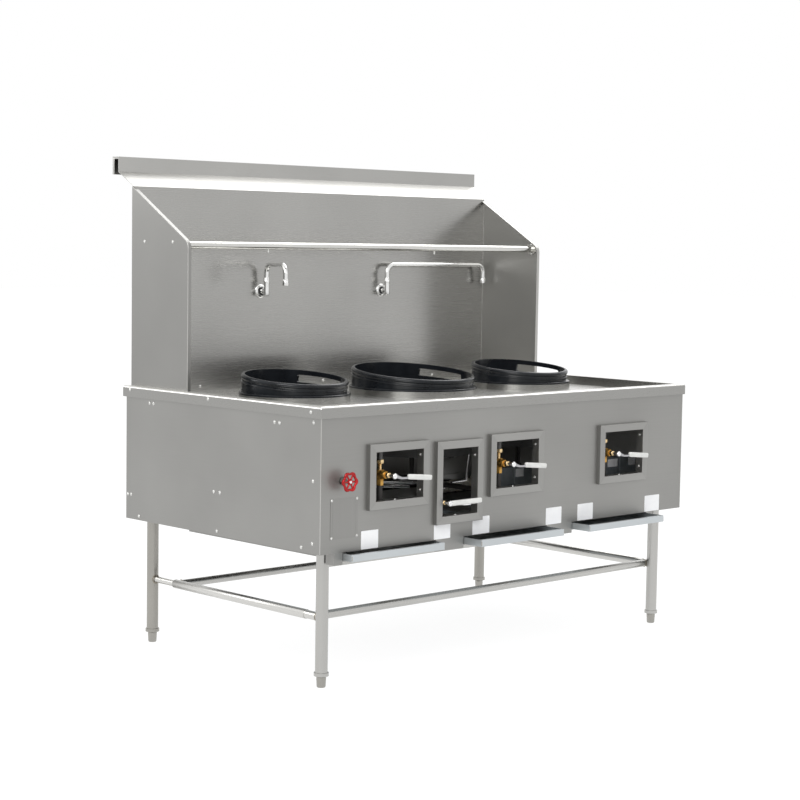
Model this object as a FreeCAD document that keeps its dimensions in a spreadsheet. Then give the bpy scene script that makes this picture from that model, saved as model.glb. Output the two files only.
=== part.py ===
import FreeCAD, Part
import os
import re
import Sketcher

Vec = FreeCAD.Vector
Turn = FreeCAD.Rotation

# Three-burner wok range: a sunken water-shedding deck on a sheet cabinet, a tall splash back with
# cheeks, pot rail and two swing faucets, four framed valve windows, three drip trays and four legs.
# X runs along the front, Y from front to back, Z up; the floor is z = 0.

SIZES = [
    # overall
    ("counter_length", 1830, "counter edge to edge"),
    ("counter_depth", 1060, "front rim to rear edge"),
    ("counter_height", 914, "floor to the top of the rim"),
    ("rear_overhang", 96, "top channel behind the counter"),
    ("tray_pull", 76, "drawn trays in front of the rim"),
    # sheet work
    ("sheet_gauge", 2, "steel sheet"),
    ("rim_width", 34, "raised edge of the deck"),
    ("rim_flange", 38, "height of the counter edge"),
    ("rim_round", 8, "rolled outer edge of the rim"),
    ("rim_corner", 10, "plan radius of the counter corners"),
    ("deck_sink", 32, "deck below the rim"),
    ("panel_inset", 9, "cabinet inside the counter edge"),
    ("cabinet_bottom", 444, "floor to the cabinet's lower edge"),
    # burners
    ("burner_x_left", -565, "left burner"),
    ("burner_x_middle", 0, "middle burner"),
    ("burner_x_right", 570, "right burner"),
    ("burner_from_front", 540, "burner centre line behind the rim"),
    ("seat_height", 22, "pressed seat round each burner"),
    ("seat_margin", 4, "seat wider than the ring's foot"),
    ("seat_ledge", 26, "flat top of the seat"),
    ("ring_radius_small", 178, "lip circle of the side rings"),
    ("ring_radius_large", 218, "lip circle of the middle ring"),
    ("ring_foot_out", 11, "foot flange past the lip circle"),
    ("ring_foot_thick", 7, "foot flange"),
    ("ring_wall", 9, "cast wall"),
    ("ring_rise", 56, "lip centre above the seat, on the axis"),
    ("ring_slope", 5.4, "lip tilt in degrees, high at the back"),
    ("lip_section", 8.5, "half width of the rolled lip"),
    ("lip_flat", 0.414, "half side of an eight-sided lip of half width one"),
    ("bead_section", 5, "half height of the lower bead"),
    ("bead_drop", 17, "bead below the lip"),
    ("gap_width", 186, "flame gap in the ring's wall"),
    ("gap_height", 27, "flame gap"),
    ("gap_corner", 6, "flame gap corners"),
    ("gap_turn", 14.5, "flame gap's direction in degrees from +X"),
    ("bowl_depth", 210, "burner chamber below the deck"),
    ("bowl_wall", 30, "chamber's refractory wall"),
    ("bowl_margin", 6, "chamber inside the seat's edge"),
    ("head_radius", 80, "burner casting"),
    ("head_height", 34, "burner casting"),
    ("jet_radius", 6, "gas jet"),
    ("jet_height", 22, "gas jet"),
    ("jet_circle_outer", 62, "outer ring of jets"),
    ("jet_count_outer", 12, "outer ring of jets"),
    ("jet_circle_inner", 32, "inner ring of jets"),
    ("jet_count_inner", 6, "inner ring of jets"),
    ("arm_width", 16, "arms that carry the burner"),
    ("arm_thick", 6, "arms that carry the burner"),
    # splash back
    ("splash_top", 1612, "floor to the top of the back panel"),
    ("splash_inset", 14, "back panel's face inside the rear edge"),
    ("cheek_depth", 327, "cheek's front edge to the rear edge"),
    ("cheek_shoulder", 1419, "corner of the cheek's front edge"),
    ("cheek_hem", 14, "cheek's turned edge"),
    ("cheek_round", 36, "rounded corner of the cheek"),
    ("channel_rise", 52, "slanted flange, upward"),
    ("channel_set", 74, "slanted flange, backward"),
    ("channel_height", 52, "top channel"),
    ("channel_back_leg", 62, "rear leg of the top channel"),
    ("channel_overhang", 14, "top channel past the cheeks"),
    ("rail_radius", 12.7, "pot rail tube"),
    ("rail_wall", 1.5, "pot rail tube"),
    ("rail_from_rear", 285, "pot rail in front of the rear edge"),
    ("rail_height", 1411, "pot rail above the floor"),
    ("rail_plate", 24, "pot rail end plates, radius"),
    ("rail_plate_thick", 4, "pot rail end plates"),
    ("rail_stud_left", -496, "stud under the rail"),
    ("rail_stud_right", 328, "stud under the rail"),
    ("rail_stud", 4, "stud radius"),
    ("rail_stud_drop", 12, "stud below the rail"),
    # faucets
    ("faucet_x_short", -308, "short faucet"),
    ("faucet_x_long", 304, "long faucet"),
    ("faucet_height", 1242, "faucet inlet above the floor"),
    ("faucet_set", 35, "faucet body in front of the panel"),
    ("faucet_plate", 25, "escutcheon radius"),
    ("faucet_plate_thick", 7, "escutcheon"),
    ("faucet_nipple", 10, "nipple radius"),
    ("faucet_body", 13.5, "faucet body radius"),
    ("faucet_below", 18, "body below the inlet"),
    ("faucet_above", 30, "body above the inlet"),
    ("faucet_nut", 17, "packing nut radius"),
    ("faucet_nut_height", 14, "packing nut"),
    ("spout_tube", 9, "spout tube radius"),
    ("spout_bore", 7, "spout bore radius"),
    ("spout_top", 1343, "spout centre line above the floor"),
    ("spout_bend", 34, "bend radius of the spouts"),
    ("spout_reach_short", 180, "short spout"),
    ("spout_reach_long", 540, "long spout"),
    ("spout_turn_short", -107, "short spout's direction at rest, degrees from +X"),
    ("spout_end", 1268, "outlet above the floor"),
    ("outlet_radius", 11.5, "outlet collar"),
    ("outlet_height", 22, "outlet collar"),
    ("socket_depth", 12, "spout inside the packing nut"),
    ("supply_radius", 8, "water pipe behind the panel"),
    ("supply_set", 34, "water pipe behind the panel's face"),
    ("supply_tail", 105, "water inlet below the hand wheel's height"),
    # valve windows
    ("window_x_1", -575, "first window"),
    ("window_x_2", -295, "tall window"),
    ("window_x_3", -15, "third window"),
    ("window_x_4", 553, "fourth window"),
    ("window_height", 677, "wide windows' centre above the floor"),
    ("tall_height", 635, "tall window's centre above the floor"),
    ("window_wide", 212, "wide window opening"),
    ("window_low", 160, "wide window opening"),
    ("tall_wide", 166, "tall window opening"),
    ("tall_high", 225, "tall window opening"),
    ("frame_border", 27, "face of a window frame"),
    ("frame_proud", 15, "frame in front of the panel"),
    ("frame_return", 17, "inner return behind the panel's face"),
    ("cut_gap", 0.5, "panel cut-out round the return"),
    # gas train
    ("valve_set_left", 49, "left lever valve, left of its window's centre"),
    ("valve_set_middle", 50, "middle lever valve, left of its window's centre"),
    ("valve_set_right", 62, "right lever valve, left of its window's centre"),
    ("valve_rise", 2, "lever axis above the window's centre"),
    ("pilot_set", 73, "pilot valve left of the tall window's centre"),
    ("pilot_drop", 66, "pilot valve below the tall window's centre"),
    ("valve_behind", 40, "valve axis behind the front rim"),
    ("valve_body", 15, "valve body over its corners, radius"),
    ("valve_half", 15, "half height of the valve body"),
    ("valve_neck", 7, "neck over the valve body, radius"),
    ("valve_neck_height", 20, "neck over the valve body"),
    ("valve_nut", 12.5, "union nut over its corners, radius"),
    ("valve_nut_height", 13, "union nut over the neck"),
    ("valve_tail_height", 22, "nut under the valve body"),
    ("bonnet_radius", 16, "valve bonnet over its corners"),
    ("bonnet_length", 30, "valve bonnet in front of its axis"),
    ("gland_radius", 10, "gland nut"),
    ("gland_length", 16, "gland nut"),
    ("stem_radius", 5, "valve stems"),
    ("stem_seat", 12, "stem inside its gland"),
    ("running_gap", 0.1, "turning fit, radial"),
    ("pilot_body", 9.5, "pilot valve body over its corners, radius"),
    ("pilot_nut", 12, "pilot valve union nut"),
    ("pilot_bonnet", 9, "pilot valve bonnet"),
    ("pilot_gland", 8, "pilot valve gland nut"),
    ("pilot_pipe", 8, "pipe to the pilot valve"),
    ("manifold_radius", 17, "gas manifold"),
    ("manifold_height", 830, "gas manifold above the floor"),
    ("manifold_start", -700, "closed end of the manifold"),
    ("manifold_run", 830, "manifold's run to the back"),
    ("drop_radius", 9, "drop pipe"),
    ("feed_radius", 9.5, "burner feed pipe"),
    ("feed_height", 575, "burner feed pipe above the floor"),
    ("elbow_ratio", 1.15, "elbow fitting's half width for each unit of pipe radius"),
    ("inlet_stub", 40, "gas inlet behind the cabinet"),
    ("pipe_gap", 3, "panel hole round a pipe"),
    # levers and hand wheel
    ("lever_stand", 31, "lever's plane in front of the rim"),
    ("lever_droop", 5.5, "lever below the level at rest, degrees"),
    ("hub_radius", 12, "lever hub over its corners"),
    ("hub_length", 14, "lever hub"),
    ("arm_length", 59, "lever arm to the grip"),
    ("arm_plate", 6, "lever arm"),
    ("arm_root", 14, "lever arm at the hub"),
    ("arm_tip", 8, "lever arm at the grip"),
    ("grip_length", 108, "grip of a lever"),
    ("grip_height", 18, "grip of a lever"),
    ("grip_thick", 10, "grip of a lever"),
    ("grip_round", 3, "grip edges"),
    ("pilot_grip", 148, "pilot lever"),
    ("wheel_x", -814, "hand wheel"),
    ("wheel_height", 674, "hand wheel above the floor"),
    ("wheel_radius", 34, "hand wheel"),
    ("wheel_thick", 11, "hand wheel"),
    ("wheel_stand", 26, "hand wheel's middle in front of the rim"),
    ("wheel_hub", 9, "hand wheel hub"),
    ("wheel_lobes", 6, "hand wheel"),
    ("wheel_scallop", 9, "hollow between two lobes"),
    ("wheel_hole", 6.5, "opening beside a spoke"),
    ("wheel_hole_circle", 18.5, "openings' circle"),
    ("tap_body", 17, "water valve body"),
    ("tap_length", 70, "water valve body"),
    ("tap_nut", 13, "water valve nut"),
    ("tap_nut_length", 10, "water valve nut in front of the panel"),
    # base, legs and stretchers
    ("angle_leg", 40, "angle iron"),
    ("angle_thick", 3, "angle iron"),
    ("corner_plate", 120, "leg plates"),
    ("bearer_front", 240, "front bearer behind the rim"),
    ("bearer_rear", 240, "rear bearer in front of the rear edge"),
    ("leg_inset_side", 81, "leg axis inside the counter's end"),
    ("leg_inset_front", 77, "leg axis behind the rim"),
    ("leg_inset_rear", 70, "leg axis in front of the rear edge"),
    ("leg_radius", 20.6, "leg tube"),
    ("leg_wall", 1.6, "leg tube"),
    ("leg_bottom", 49, "leg tube above the floor"),
    ("collar_radius", 24.5, "insert at the leg's lower end"),
    ("collar_height", 11, "insert below the tube"),
    ("collar_plug", 22, "insert inside the tube"),
    ("foot_radius", 16, "bullet foot"),
    ("foot_stem", 8, "foot's stem"),
    ("foot_stem_spare", 5, "stem left in the insert at full travel"),
    ("foot_gap", 0.3, "stem in its insert"),
    ("foot_travel", 25, "foot's adjustment, less than its stem"),
    ("stretcher_radius", 14, "stretcher tubes"),
    ("stretcher_wall", 1.5, "stretcher tubes"),
    ("cope_half", 60, "half height of a tube's coped end cut"),
    ("stub_radius", 11, "thin end of a side stretcher"),
    ("stub_rear", 137, "left stretcher's thin end, from the rear leg's axis"),
    ("stub_front", 45, "right stretcher's thin end, from the front leg's axis"),
    ("stretcher_height", 227, "stretchers above the floor"),
    ("front_stretcher_set", 108, "front stretcher behind the rim"),
    ("rear_stretcher_set", 220, "rear stretcher in front of the rear edge"),
    # drip trays
    ("tray_x_1", -601, "first tray"),
    ("tray_x_2", -53, "second tray"),
    ("tray_x_3", 498, "third tray"),
    ("tray_width", 414, "drip tray"),
    ("tray_length", 640, "drip tray, front to back"),
    ("tray_height", 23, "drip tray"),
    ("tray_sheet", 1.5, "drip tray sheet"),
    ("tray_lip", 12, "turned front edge"),
    ("tray_bottom", 418, "tray above the floor"),
    ("tray_out_1", 36, "first tray in front of the rim"),
    ("slide_gap", 0.3, "tray above its ledge"),
    ("side_gap", 1.5, "tray beside its web"),
    ("ledge_width", 13, "ledge under a tray"),
    ("hanger_height", 39, "hanger below the cabinet"),
    ("hanger_length", 800, "hanger, front to back"),
    ("end_bracket", 37, "end hanger's front bracket"),
    ("end_bracket_depth", 40, "end hanger's front bracket"),
]

FRONT = "((tray_pull - rear_overhang - counter_depth) / 2)"
REAR = f"({FRONT} + counter_depth)"
RIGHT = "(counter_length / 2)"
LEFT = "(-counter_length / 2)"
TOP = "counter_height"
DECK = "(counter_height - deck_sink)"
UNDER = f"({DECK} - sheet_gauge)"
SEAT = f"({DECK} + seat_height)"
PANEL = f"({FRONT} + panel_inset)"
BURNER_Y = f"({FRONT} + burner_from_front)"
VALVE_Y = f"({FRONT} + valve_behind)"
SPLASH = f"({REAR} - splash_inset)"

# Directions, in degrees, at which a drawn bend is mitred.
BEND_STEPS = (30, 60, 90)

doc = FreeCAD.newDocument("WokRange")
sheet = doc.addObject("Spreadsheet::Sheet", "Sizes")
for row, (alias, value, note) in enumerate(SIZES, 1):
    sheet.set(f"A{row}", note)
    sheet.set(f"B{row}", str(value))
    sheet.setAlias(f"B{row}", alias)
reading = doc.addObject("Spreadsheet::Sheet", "Reading")
doc.recompute()

NAMES = {alias for alias, value, note in SIZES}
CLOSE = 0.005  # two places that are the same, in mm
nodes = []


def link(text):
    """Turn size names into references to the sheet."""
    return re.sub(r"[A-Za-z_]\w*", lambda m: "Sizes." + m[0] if m[0] in NAMES else m[0], text)


def bind(obj, prop, text):
    obj.setExpression(prop, link(str(text)))


def place(obj, x="0", y="0", z="0"):
    for axis, text in zip("xyz", (x, y, z)):
        bind(obj, f"Placement.Base.{axis}", text)
    return obj


def keep(obj, label):
    """Mark an object as a piece of the range."""
    obj.Label = label
    nodes.append(obj)
    return obj


# Solids from primitives. A span is a pair of expressions, low and high.

AXES = {"x": Turn(Vec(0, 1, 0), 90), "y": Turn(Vec(1, 0, 0), -90), "z": Turn()}


def block(x, y, z):
    obj = doc.addObject("Part::Box", "Block")
    for prop, (low, high) in zip(("Length", "Width", "Height"), (x, y, z)):
        bind(obj, prop, f"({high}) - ({low})")
    return place(obj, x[0], y[0], z[0])


def rod(radius, length, x, y, z, along="z"):
    obj = doc.addObject("Part::Cylinder", "Rod")
    obj.Placement = FreeCAD.Placement(Vec(), AXES[along])
    bind(obj, "Radius", radius)
    bind(obj, "Height", length)
    return place(obj, x, y, z)


def hexagon(radius, length, x, y, z, along="z"):
    obj = doc.addObject("Part::Prism", "Hexagon")
    obj.Placement = FreeCAD.Placement(Vec(), AXES[along])
    bind(obj, "Circumradius", radius)
    bind(obj, "Height", length)
    return place(obj, x, y, z)


def elbow(radius, x, y, z):
    """Square elbow fitting where two pipes meet."""
    half = f"(elbow_ratio * {radius})"
    low = [f"{middle} - {half}" for middle in (x, y, z)]
    high = [f"{middle} + {half}" for middle in (x, y, z)]
    return block(*zip(low, high))


def fuse(*shapes):
    obj = doc.addObject("Part::MultiFuse", "Fusion")
    obj.Shapes = list(shapes)
    obj.Refine = True
    return obj


def cut(base, *tools):
    obj = doc.addObject("Part::Cut", "Cut")
    obj.Base = base
    obj.Tool = tools[0] if len(tools) == 1 else fuse(*tools)
    obj.Refine = True
    return obj


def tube(radius, wall, length, x, y, z, along="z"):
    return cut(rod(radius, length, x, y, z, along), rod(f"{radius} - {wall}", length, x, y, z, along))


# Solids from profiles.

def new_body():
    return doc.addObject("PartDesign::Body", "Body")


def sketch(body, plane, lift="0"):
    obj = body.newObject("Sketcher::SketchObject", "Sketch")
    base = next(item for item in body.Origin.OriginFeatures if item.Role == plane)
    obj.AttachmentSupport = [(base, "")]
    obj.MapMode = "FlatFace"
    bind(obj, "AttachmentOffset.Base.z", lift)
    return obj


def pin(sk, geometry, corner, x, y):
    """Fix a point of the sketch at two expressions from its origin."""
    for kind, text in (("DistanceX", x), ("DistanceY", y)):
        index = sk.addConstraint(Sketcher.Constraint(kind, -1, 1, geometry, corner, 1.0))
        bind(sk, f"Constraints[{index}]", text)


def outline(sk, points, closed=True):
    """Polygon or open route, each corner at two expressions."""
    first = sk.GeometryCount
    lines = len(points) if closed else len(points) - 1
    spread = [Turn(Vec(0, 0, 1), 360.0 * n / len(points)) for n in range(len(points))]
    corners = [turn.multVec(Vec(1, 0, 0)) for turn in spread]
    for index in range(lines):
        sk.addGeometry(Part.LineSegment(corners[index], corners[(index + 1) % len(points)]))
    for index in range(lines):
        pin(sk, first + index, 1, *points[index])
        if closed or index + 1 < lines:
            follower = first + (index + 1) % lines
            sk.addConstraint(Sketcher.Constraint("Coincident", first + index, 2, follower, 1))
    if not closed:
        pin(sk, first + lines - 1, 2, *points[-1])
    return sk


def rectangle(sk, x, y):
    return outline(sk, [(x[0], y[0]), (x[1], y[0]), (x[1], y[1]), (x[0], y[1])])


def circle(sk, radius, x="0", y="0"):
    index = sk.addGeometry(Part.Circle(Vec(), Vec(0, 0, 1), 1.0))
    pin(sk, index, 3, x, y)
    size = sk.addConstraint(Sketcher.Constraint("Radius", index, 1.0))
    bind(sk, f"Constraints[{size}]", radius)
    return sk


def six_sided(sk, radius, x):
    """Regular hexagon centred on the sketch's horizontal axis."""
    across = f"{radius} * sqrt(3) / 2"
    return outline(sk, [
        (f"{x} + {radius}", "0"),
        (f"{x} + {radius} / 2", across),
        (f"{x} - {radius} / 2", across),
        (f"{x} - {radius}", "0"),
        (f"{x} - {radius} / 2", f"-({across})"),
        (f"{x} + {radius} / 2", f"-({across})")])


def grow(body, kind, sk, length, reverse=False):
    """Pad or pocket of a given length. A pocket runs against its sketch's normal unless reversed."""
    obj = body.newObject(f"PartDesign::{kind}", kind)
    obj.Profile = sk
    obj.Reversed = reverse
    bind(obj, "Length", length)
    return obj


def revolve(body, sk, kind="Revolution"):
    obj = body.newObject(f"PartDesign::{kind}", kind)
    obj.Profile = sk
    obj.ReferenceAxis = (sk, ["V_Axis"])
    obj.Angle = 360
    return obj


def repeat(body, feature, count, axis):
    """Copies of a feature round one of the body's axes."""
    obj = body.newObject("PartDesign::PolarPattern", "Pattern")
    obj.Originals = [feature]
    line = next(item for item in body.Origin.OriginFeatures if item.Role == axis)
    obj.Axis = (line, [""])
    obj.Angle = 360
    bind(obj, "Occurrences", count)
    body.Tip = obj
    return obj


def soften(body, kind, size, test):
    """Fillet or chamfer the edges that pass a test."""
    doc.recompute()
    base = body.Tip
    names = [f"Edge{n}" for n, edge in enumerate(base.Shape.Edges, 1) if test(edge)]
    if not names:
        raise ValueError(f"no edge to soften in {body.Label}")
    obj = body.newObject(f"PartDesign::{kind}", kind)
    obj.Base = (base, names)
    bind(obj, "Radius" if kind == "Fillet" else "Size", size)
    return obj


def size(text):
    """Value of an expression, worked out in a second sheet."""
    reading.set("A1", "=" + link(text))
    reading.recompute()
    return float(reading.A1)


def runs(edge, axis):
    """True for a straight edge parallel to an axis."""
    if len(edge.Vertexes) != 2:
        return False
    step = edge.Vertexes[1].Point.sub(edge.Vertexes[0].Point)
    others = [abs(getattr(step, name)) for name in "xyz" if name != axis]
    return max(others + [abs(edge.Length - step.Length)]) < CLOSE


def at(edge, axis, value):
    """True for an edge whose middle lies at a value on an axis."""
    return abs(getattr(edge.BoundBox.Center, axis) - value) < CLOSE


BURNERS = [
    ("left", "burner_x_left", "ring_radius_small", "(window_x_1 - valve_set_left)"),
    ("middle", "burner_x_middle", "ring_radius_large", "(window_x_3 - valve_set_middle)"),
    ("right", "burner_x_right", "ring_radius_small", "(window_x_4 - valve_set_right)"),
]


def foot_radius_of(lip):
    return f"({lip} + ring_foot_out)"


def seat_radius_of(lip):
    return f"({lip} + ring_foot_out + seat_margin)"


def bowl_radius_of(lip):
    return f"({lip} + ring_foot_out + seat_margin - sheet_gauge - bowl_margin)"


def hole_radius_of(lip):
    """Hole in the seat's flat top."""
    return f"({lip} + ring_foot_out + seat_margin - seat_ledge)"


# Deck: one sheet pressed into a rim, a sunken floor and three raised seats, open to the rear.

def deck_pan():
    body = new_body()
    base = f"{TOP} - rim_flange"
    grow(body, "Pad", rectangle(sketch(body, "XY_Plane", base), (LEFT, RIGHT), (FRONT, REAR)), "rim_flange")
    front = size(FRONT)
    well_x = (f"{LEFT} + rim_width", f"{RIGHT} - rim_width")
    well_y = (f"{FRONT} + rim_width", f"{REAR} + rim_width")
    grow(body, "Pocket", rectangle(sketch(body, "XY_Plane", TOP), well_x, well_y), "deck_sink")
    inner_x = (f"{LEFT} + sheet_gauge", f"{RIGHT} - sheet_gauge")
    inner_y = (f"{FRONT} + sheet_gauge", f"{REAR} - sheet_gauge")
    hollow = rectangle(sketch(body, "XY_Plane", base), inner_x, inner_y)
    grow(body, "Pocket", hollow, "rim_flange - deck_sink - sheet_gauge", reverse=True)
    low, high = f"{LEFT} + rim_width - sheet_gauge", f"{RIGHT} - rim_width + sheet_gauge"
    step = f"{FRONT} + rim_width - sheet_gauge"
    channel = outline(sketch(body, "XY_Plane", base), [
        (inner_x[0], inner_y[0]), (inner_x[1], inner_y[0]), (inner_x[1], inner_y[1]), (high, inner_y[1]),
        (high, step), (low, step), (low, inner_y[1]), (inner_x[0], inner_y[1])])
    grow(body, "Pocket", channel, "rim_flange - sheet_gauge", reverse=True)
    # The inner roundings come before the outer ones, so the sheet keeps its gauge.
    wall_x, wall_y = size(inner_x[1]), size(inner_y[0])
    top, ceiling = size(TOP), size(f"{TOP} - sheet_gauge")

    def inner_corner(edge):
        return runs(edge, "z") and at(edge, "y", wall_y) and (at(edge, "x", wall_x) or at(edge, "x", -wall_x))

    soften(body, "Fillet", "rim_corner - sheet_gauge", inner_corner)
    soften(body, "Fillet", "rim_corner", lambda edge: runs(edge, "z") and at(edge, "y", front))
    soften(body, "Fillet", "rim_round - sheet_gauge",
           lambda edge: at(edge, "z", ceiling) and at(edge, "y", wall_y))
    soften(body, "Fillet", "rim_round", lambda edge: at(edge, "z", top) and at(edge, "y", front))
    for _, x, lip, _ in BURNERS:
        seat = circle(sketch(body, "XY_Plane", DECK), seat_radius_of(lip), x, BURNER_Y)
        grow(body, "Pad", seat, "seat_height")
        cavity = circle(sketch(body, "XY_Plane", UNDER), f"{seat_radius_of(lip)} - sheet_gauge", x, BURNER_Y)
        grow(body, "Pocket", cavity, "seat_height", reverse=True)
        hole = circle(sketch(body, "XY_Plane", SEAT), hole_radius_of(lip), x, BURNER_Y)
        grow(body, "Pocket", hole, "seat_height")
    keep(body, "deck_pan")


# Cabinet: four plain sheets standing on an angle-iron base.

def window(number):
    """Centre and opening of a valve window."""
    if number == 2:
        return "window_x_2", "tall_height", "tall_wide", "tall_high"
    return f"window_x_{number}", "window_height", "window_wide", "window_low"


def span(centre, width, extra="0"):
    """Low and high ends of a width about a centre, each moved outward."""
    return f"{centre} - {width} / 2 - ({extra})", f"{centre} + {width} / 2 + ({extra})"


def cabinet():
    behind = (PANEL, f"{PANEL} + sheet_gauge")
    side_y = (behind[1], f"{REAR} - panel_inset - sheet_gauge")
    rear_y = (side_y[1], f"{REAR} - panel_inset")
    outer_x = (f"{LEFT} + panel_inset", f"{RIGHT} - panel_inset")
    under_rim = ("cabinet_bottom", f"{TOP} - sheet_gauge")
    before = f"{PANEL} - sheet_gauge"
    holes = [rod("tap_nut + cut_gap", "3 * sheet_gauge", "wheel_x", before, "wheel_height", "y")]
    margin = "sheet_gauge + cut_gap"
    for number in range(1, 5):
        x, z, wide, high = window(number)
        through = (before, f"{PANEL} + 2 * sheet_gauge")
        holes.append(block(span(x, wide, margin), through, span(z, high, margin)))
    keep(cut(block(outer_x, behind, under_rim), *holes), "front_panel")
    left_x = (outer_x[0], f"{outer_x[0]} + sheet_gauge")
    right_x = (f"{outer_x[1]} - sheet_gauge", outer_x[1])
    keep(block(left_x, side_y, under_rim), "left_side_panel")
    keep(block(right_x, side_y, under_rim), "right_side_panel")
    back = block(outer_x, rear_y, ("cabinet_bottom", UNDER))
    before = f"{rear_y[0]} - sheet_gauge"
    gas = rod("manifold_radius + pipe_gap", "3 * sheet_gauge", "manifold_run", before, "manifold_height", "y")
    water = rod("supply_radius + pipe_gap", "3 * sheet_gauge", "wheel_x", before, "wheel_height", "y")
    keep(cut(back, gas, water), "rear_panel")
    base_frame((left_x[1], right_x[0]), side_y)


def base_frame(inside_x, inside_y):
    """Ring of angle iron with two flat bearers and a plate over each leg."""
    flat = ("cabinet_bottom", "cabinet_bottom + angle_thick")
    high = (flat[0], f"{flat[0]} + angle_leg")
    wall_x = (f"{inside_x[0]} + angle_thick", f"{inside_x[1]} - angle_thick")
    wall_y = (f"{inside_y[0]} + angle_thick", f"{inside_y[1]} - angle_thick")
    open_x = (f"{inside_x[0]} + angle_leg", f"{inside_x[1]} - angle_leg")
    open_y = (f"{inside_y[0]} + angle_leg", f"{inside_y[1]} - angle_leg")
    angle = cut(block(inside_x, inside_y, high), block(wall_x, wall_y, (flat[1], high[1])),
                block(open_x, open_y, (f"{flat[0]} - angle_thick", high[1])))
    pieces = [angle]
    # Each bearer is an angle too: a flat leg and an upright one along its front.
    for low in (f"{FRONT} + bearer_front", f"{REAR} - bearer_rear"):
        pieces.append(block(wall_x, (low, f"{low} + angle_leg"), flat))
        pieces.append(block(wall_x, (low, f"{low} + angle_thick"), high))
    plate_x = ((wall_x[0], f"{wall_x[0]} + corner_plate"), (f"{wall_x[1]} - corner_plate", wall_x[1]))
    plate_y = ((wall_y[0], f"{wall_y[0]} + corner_plate"), (f"{wall_y[1]} - corner_plate", wall_y[1]))
    for x in plate_x:
        for y in plate_y:
            pieces.append(block(x, y, flat))
    keep(fuse(*pieces), "base_frame")


def window_frames():
    """Folded frame: outer return on the panel, face, and an inner return through the cut-out."""
    for number in range(1, 5):
        x, z, wide, high = window(number)
        body = new_body()

        def loop(sk, extra):
            """Rectangle that lies outside the opening by a margin."""
            return rectangle(sk, span("0", wide, extra), span("0", high, extra))

        grow(body, "Pad", loop(sketch(body, "XZ_Plane"), "frame_border"), "frame_proud")
        groove = loop(sketch(body, "XZ_Plane"), "frame_border - sheet_gauge")
        loop(groove, "sheet_gauge")
        grow(body, "Pocket", groove, "frame_proud - sheet_gauge", reverse=True)
        grow(body, "Pocket", loop(sketch(body, "XZ_Plane"), "0"), "frame_proud", reverse=True)
        lining = loop(sketch(body, "XZ_Plane"), "sheet_gauge")
        loop(lining, "0")
        grow(body, "Pad", lining, "frame_return", reverse=True)
        corner = (size(f"{wide} / 2 + frame_border"), size(f"{high} / 2 + frame_border"))

        def outer_corner(edge):
            middle = edge.CenterOfMass
            off = max(abs(abs(middle.x) - corner[0]), abs(abs(middle.z) - corner[1]))
            return runs(edge, "y") and off < CLOSE

        soften(body, "Fillet", "sheet_gauge", outer_corner)
        place(keep(body, f"window_frame_{number}"), x, PANEL, z)


# Burners: a cast ring on the seat, a lined chamber under the deck and a jet burner in its mouth.

def wok_ring(side, x, lip):
    """Wall with a bead and an eight-sided lip, turned about a tilted axis and cut open on one side."""
    inner, outer = f"({lip} - ring_wall / 2)", f"({lip} + ring_wall / 2)"
    reach = f"(ring_rise + {lip} / 4)"
    body = new_body()
    profile = sketch(body, "XZ_Plane")
    flat = "lip_flat * lip_section"
    outline(profile, [
        (inner, f"-{reach}"), (outer, f"-{reach}"), (outer, "-bead_drop - bead_section"),
        (f"{outer} + bead_section", "-bead_drop"), (outer, "-bead_drop + bead_section"),
        (outer, f"ring_wall / 2 - lip_section - {flat}"), (f"{lip} + lip_section", f"-{flat}"),
        (f"{lip} + lip_section", flat), (f"{lip} + {flat}", "lip_section"), (inner, "lip_section")])
    revolve(body, profile)
    opening = sketch(body, "YZ_Plane")
    rectangle(opening, span("0", "gap_width"), ("-lip_section - gap_height", "-lip_section"))
    grow(body, "Pocket", opening, f"{lip} + 2 * ring_wall", reverse=True)
    low = size("-lip_section - gap_height")
    soften(body, "Fillet", "gap_corner", lambda edge: runs(edge, "x") and at(edge, "z", low))
    tilt = Turn(Vec(1, 0, 0), size("ring_slope"))
    body.Placement = FreeCAD.Placement(Vec(), tilt.multiply(Turn(Vec(0, 0, 1), size("gap_turn"))))
    place(body, z="ring_rise")
    wall = cut(body, rod(f"2 * {lip}", reach, "0", "0", f"-{reach}"))
    core = rod(inner, f"2 * {reach}", "0", "0", "0")
    core.Placement = FreeCAD.Placement(Vec(), tilt)
    place(core, "0", f"{reach} * sin(ring_slope)", f"ring_rise - {reach} * cos(ring_slope)")
    foot = cut(rod(foot_radius_of(lip), "ring_foot_thick", "0", "0", "0"), core)
    place(keep(fuse(wall, foot), f"wok_ring_{side}"), x, BURNER_Y, SEAT)


def burner_bowl(side, x, lip):
    """Open chamber hung from the underside of the seat's flat top."""
    bowl = tube(bowl_radius_of(lip), "bowl_wall", "seat_height + bowl_depth", "0", "0", "-bowl_depth")
    place(keep(bowl, f"burner_bowl_{side}"), x, BURNER_Y, UNDER)


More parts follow.
